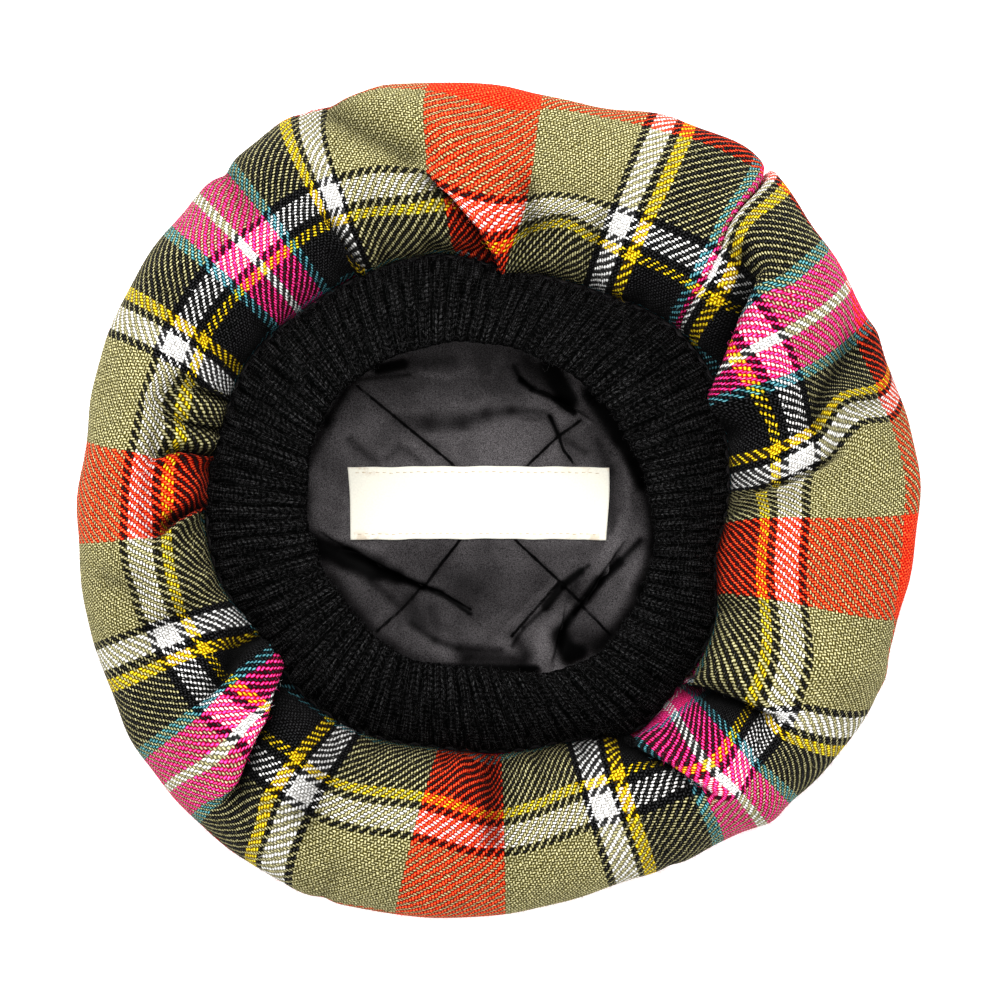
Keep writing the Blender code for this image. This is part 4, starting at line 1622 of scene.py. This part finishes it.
def lining_shade(plan):
    """How deep points of the lining's floor lie in the shadow of its folds, shine below 0."""
    light, shine = np.ones(plan.shape[:-1]), np.zeros(plan.shape[:-1])
    for x1, y1, x2, y2, width, depth in LINING_SHADES:
        distance = line_distance(plan, (x1, y1), (x2, y2))
        share = depth * np.exp(-((distance / width) ** (4.5 if depth > 0.9 else 2.0)))
        light = light * (1.0 - np.maximum(share, 0.0))
        shine = np.maximum(shine, -share)
    return 1.0 - (light * (1.0 + shine)) ** SHADE_POWER


def label_bed(plan):
    """How far a point lies off the level bed under the label, from 0 to 1."""
    reach = np.abs(plan - LABEL_MIDDLE) - LABEL_HALF
    return smoothstep(0.3, LABEL_BED_MARGIN, reach.max(axis=-1))


def lining_side(angle):
    """The lining's side, from its sewn edge down to its floor, with small pleats."""
    side = smooth_path(np.array(LINING_SIDE), LINING_SIDE_ROWS)
    radius = around(SECTIONS, SEAM, angle)[None, :] + side[:, :1]
    full = smoothstep(0.0, 8.0, np.arange(LINING_SIDE_ROWS))[:, None]
    radius = radius - waves_round(angle, LINING_PLEATS)[None, :] * full
    height = np.broadcast_to(side[:, 1:, None], (*radius.shape, 1))
    return np.concatenate([compass(angle)[None] * radius[..., None], height], axis=-1)


def lining_floor(lining, rim):
    """The lining's floor inside its rim, with its seams, folds and tucks, and its map."""
    share = np.linspace(1.0, 0.006, LINING_FLOOR_ROWS + 1)[1:] ** 0.92
    plan = OPENING_MIDDLE + (rim[:, :2] - OPENING_MIDDLE)[None] * share[:, None, None]
    distance = seam_distance(plan)
    height = floor_height(plan)
    width = lining.seam_width / MM
    height -= lining.seam_depth / MM * np.exp(-((distance / width) ** 1.4))
    bed = label_bed(plan)
    height = LABEL_BED_Z + (height - LABEL_BED_Z) * bed
    joined = smoothstep(1.0, 0.9, share)[:, None]
    height = rim[:, 2] + (height - rim[:, 2]) * joined
    dark = np.zeros(distance.shape)
    for edge, *shape in LINING_TUCKS:
        moved, raised, below = tuck(plan, edge, *shape)
        plan = plan + moved * (bed * joined)[..., None]
        height = height + raised * bed * joined
        dark = np.maximum(dark, 0.9 * below * bed)
    # Painted shade under the tucks, and painted shade and highlights of the folds, for the satin's
    # colour.
    shade = np.maximum(dark, lining_shade(plan))
    height = np.maximum(height, LINING_LOWEST_Z)
    floor = np.concatenate([plan, height[..., None]], axis=-1)
    return floor, np.stack([distance * MM, shade], axis=-1)


def lining_surface(lining):
    """The lining's inner face, from its sewn edge over its side and floor to its middle."""
    side = lining_side(np.linspace(0.0, 360.0, LINING_COLUMNS, endpoint=False))
    floor, floor_map = lining_floor(lining, side[-1])
    side_map = np.broadcast_to(LINING_SIDE_MAP, (*side.shape[:2], 2))
    return np.concatenate([side, floor]), np.concatenate([side_map, floor_map])


def smooth_path(path, count):
    """A rounder line through a few points."""
    along = along_path(path)
    fine = np.linspace(0.0, along[-1], count)
    slope = np.gradient(path, along, axis=0)
    before = np.clip(np.searchsorted(along, fine, side="right") - 1, 0, len(along) - 2)
    after = before + 1
    span = (along[after] - along[before])[:, None]
    share = (fine - along[before])[:, None] / span
    return hermite(share, path[before], path[after], slope[before] * span, slope[after] * span)


def make_lining_mesh(lining):
    """The padded lining as a mesh, its back plainer than its face."""
    inner, maps = lining_surface(lining)
    normals = grid_normals(inner, wrap_columns=True)
    side = LINING_SIDE_ROWS
    chosen = np.concatenate([np.arange(0, side, 5), np.arange(side, inner.shape[0], 12)])
    outer = inner[chosen]
    wall = chosen < side
    outer[wall] -= normals[chosen][wall] * LINING_THICKNESS
    outer[~wall, :, 2] = np.maximum(outer[~wall, :, 2] - LINING_THICKNESS, LINING_BACK_Z)
    body = np.concatenate([inner[::-1], outer])
    places = np.concatenate([maps[::-1], maps[chosen]])
    places = np.concatenate([places, places[:, :1]], axis=1)
    return grid_mesh("quilted_lining", body, {"quilting": places}, wrap_columns=True)


class TAM_OT_sew_lining(bpy.types.Operator):
    """Quilt the satin lining and lay it in the crown"""

    bl_idname = "tam.sew_lining"
    bl_label = "Quilted lining"

    def execute(self, context):
        lining = context.scene.tam_lining
        mesh = make_lining_mesh(lining)
        satin = make_satin("grey_satin", lining)
        piece = add_piece("quilted_lining", mesh, satin, "lining")
        return {"FINISHED"}


# ---------------------------------------------------------------- the label


def label_back(along, across):
    """Height of the label's back, with its slight waves over the lining."""
    wave = 0.16 * np.sin(along / 8.3 + 0.6) + 0.12 * np.sin(across / 4.1 + along / 15.0)
    ends = 0.5 * smoothstep(0.9, 1.0, np.abs(along) / LABEL_HALF[0])
    return LABEL_BED_Z + (LABEL_RISE + wave + ends) - LABEL_SUNK


def label_plan(along, across):
    """The label's plan, a little out of square, with uneven long edges."""
    half_length, half_width = LABEL_HALF
    shift = 0.35 * np.sin(across / 6.0 + 1.0) * (along / half_length) ** 2
    skew = across * (0.085 * smoothstep(-half_length, half_length, along) - 0.055)
    bow = 0.25 * np.cos(along / 20.0) + 0.09 * np.sin(along / 3.7)
    bow = bow + 0.07 * np.sin(along / 1.9 + 1.0)
    x = along + shift + skew - 0.4
    y = across + bow * np.abs(across) / half_width
    return np.stack([x + LABEL_MIDDLE[0], y + LABEL_MIDDLE[1]], axis=-1)


def make_label_mesh(label):
    """The label as a mesh, face and back."""
    length, width = label.length / MM, label.width / MM
    rows = np.linspace(-width / 2, width / 2, LABEL_POINTS[0])
    columns = np.linspace(-length / 2, length / 2, LABEL_POINTS[1])
    across, along = np.meshgrid(rows, columns, indexing="ij")
    plan = label_plan(along, across)
    back = label_back(along, across)[..., None]
    lower = np.concatenate([plan, back], axis=-1)
    upper = np.concatenate([plan, back + label.thickness / MM], axis=-1)
    places = np.stack([along, across], axis=-1) * MM
    maps = {"cloth": np.concatenate([places, places[::-1]])}
    return grid_mesh("woven_label", np.concatenate([upper, lower[::-1]]), maps, True)


def label_stitches(label):
    """Running stitches along both long edges, each a short arch of thread."""
    length, width = label.length / MM, label.width / MM
    pitch = label.stitch / MM
    starts = np.arange(-length / 2 + STITCH_ENDS[0], length / 2 - STITCH_ENDS[1], pitch)
    share = np.linspace(0.0, 1.0, 7)
    arch = 0.2 * np.sin(share * np.pi)
    lines = []
    for side in (-1.0, 1.0):
        for index, start in enumerate(starts):
            along = start + share * pitch * STITCH_SHARE
            across = np.full(7, side * (width / 2 - STITCH_INSET)) + 0.12 * math.sin(index * 2.3)
            z = label_back(along, across) + label.thickness / MM - 0.06 + arch
            lines.append(np.concatenate([label_plan(along, across), z[:, None]], axis=-1))
    lines = np.array(lines)
    roots = lines[:, 0]
    paths = lines - roots[:, None, :]
    return strands("label_stitches", roots, paths, STITCH_RADIUS, sides=6)


class TAM_OT_sew_label(bpy.types.Operator):
    """Sew the bare woven label to the lining"""

    bl_idname = "tam.sew_label"
    bl_label = "Label"

    def execute(self, context):
        label = context.scene.tam_label
        mesh = make_label_mesh(label)
        tape = make_tape("cream_tape", label)
        piece = add_piece("woven_label", mesh, tape, "label")
        thread = make_thread("label_thread", LABEL_THREAD)
        add_piece("label_stitches", label_stitches(label), thread)
        return {"FINISHED"}


# ---------------------------------------------------------------- the stage


class TAM_OT_set_stage(bpy.types.Operator):
    """Lay the pale floor and set the light and the camera above it"""

    bl_idname = "tam.set_stage"
    bl_label = "Floor, light and camera"

    def execute(self, context):
        stage = context.scene.tam_stage
        add_floor(stage)
        add_world(context.scene, stage)
        add_softbox("key_softbox", *KEY_BOX, stage.key)
        add_softbox("top_softbox", *TOP_BOX, stage.top)
        add_camera(context.scene, stage)
        context.scene.view_settings.view_transform = "Standard"
        return {"FINISHED"}


def add_floor(stage):
    """A flat floor with a faint glow of its own."""
    mesh = bpy.data.meshes.new("floor")
    square = ((-1, -1), (1, -1), (1, 1), (-1, 1))
    mesh.from_pydata([(x * FLOOR_REACH, y * FLOOR_REACH, 0) for x, y in square], [], [(0, 1, 2, 3)])
    finish = Finish("pale_floor")
    finish.set(Base_Color=colour4(stage.floor), Roughness=0.9, Specular_IOR_Level=0.1)
    finish.set(Emission_Color=colour4(WHITE_LIGHT), Emission_Strength=stage.glow)
    mesh.materials.append(finish.material)
    floor = link_object("floor", mesh)


def add_world(scene, stage):
    """Even white light from all round."""
    world = bpy.data.worlds.new("studio")
    world.use_nodes = True
    background = world.node_tree.nodes["Background"]
    background.inputs["Color"].default_value = colour4(WHITE_LIGHT)
    background.inputs["Strength"].default_value = stage.fill
    scene.world = world


def add_softbox(name, place, size, power):
    """A square soft light that looks at the cap."""
    light = bpy.data.lights.new(name, "AREA")
    light.shape = "SQUARE"
    light.size = size
    light.energy = power
    lamp = link_object(name, light)
    lamp.location = place
    lamp.rotation_euler = (-lamp.location).to_track_quat("-Z", "Y").to_euler()


def add_camera(scene, stage):
    """The camera straight above the cap."""
    data = bpy.data.cameras.new("camera")
    data.lens = stage.lens
    data.sensor_width = SENSOR_WIDTH
    camera = link_object("camera", data)
    camera.location = (0.0, CAMERA_Y, stage.height)
    scene.camera = camera


# ---------------------------------------------------------------- the add-on

SETTINGS = {
    "tam_cloth": TamClothSettings,
    "tam_knit": TamKnitSettings,
    "tam_lining": TamLiningSettings,
    "tam_label": TamLabelSettings,
    "tam_stage": TamStageSettings,
}
OPERATORS = (
    TAM_OT_sew_top,
    TAM_OT_sew_strip,
    TAM_OT_knit_band,
    TAM_OT_sew_lining,
    TAM_OT_sew_label,
    TAM_OT_set_stage,
)


class TAM_PT_panel(bpy.types.Panel):
    """The pieces of the tam o'shanter and their settings"""

    bl_idname = "TAM_PT_panel"
    bl_label = "Tam o'shanter"
    bl_space_type = "VIEW_3D"
    bl_region_type = "UI"
    bl_category = "Tam"

    def draw(self, context):
        column = self.layout.column()
        for operator in OPERATORS:
            column.operator(operator.bl_idname)
        for name, group in SETTINGS.items():
            box = self.layout.box()
            box.label(text=group.__doc__)
            for key in group.__annotations__:
                box.prop(getattr(context.scene, name), key)


CLASSES = (*SETTINGS.values(), *OPERATORS, TAM_PT_panel)


def register():
    for item in CLASSES:
        bpy.utils.register_class(item)
    for name, group in SETTINGS.items():
        setattr(bpy.types.Scene, name, PointerProperty(type=group))


def unregister():
    for name in SETTINGS:
        delattr(bpy.types.Scene, name)
    for item in reversed(CLASSES):
        bpy.utils.unregister_class(item)


def main():
    register()
    bpy.ops.tam.sew_top()
    bpy.ops.tam.sew_strip()
    bpy.ops.tam.knit_band()
    bpy.ops.tam.sew_lining()
    bpy.ops.tam.sew_label()
    bpy.ops.tam.set_stage()


if __name__ == "__main__":
    main()
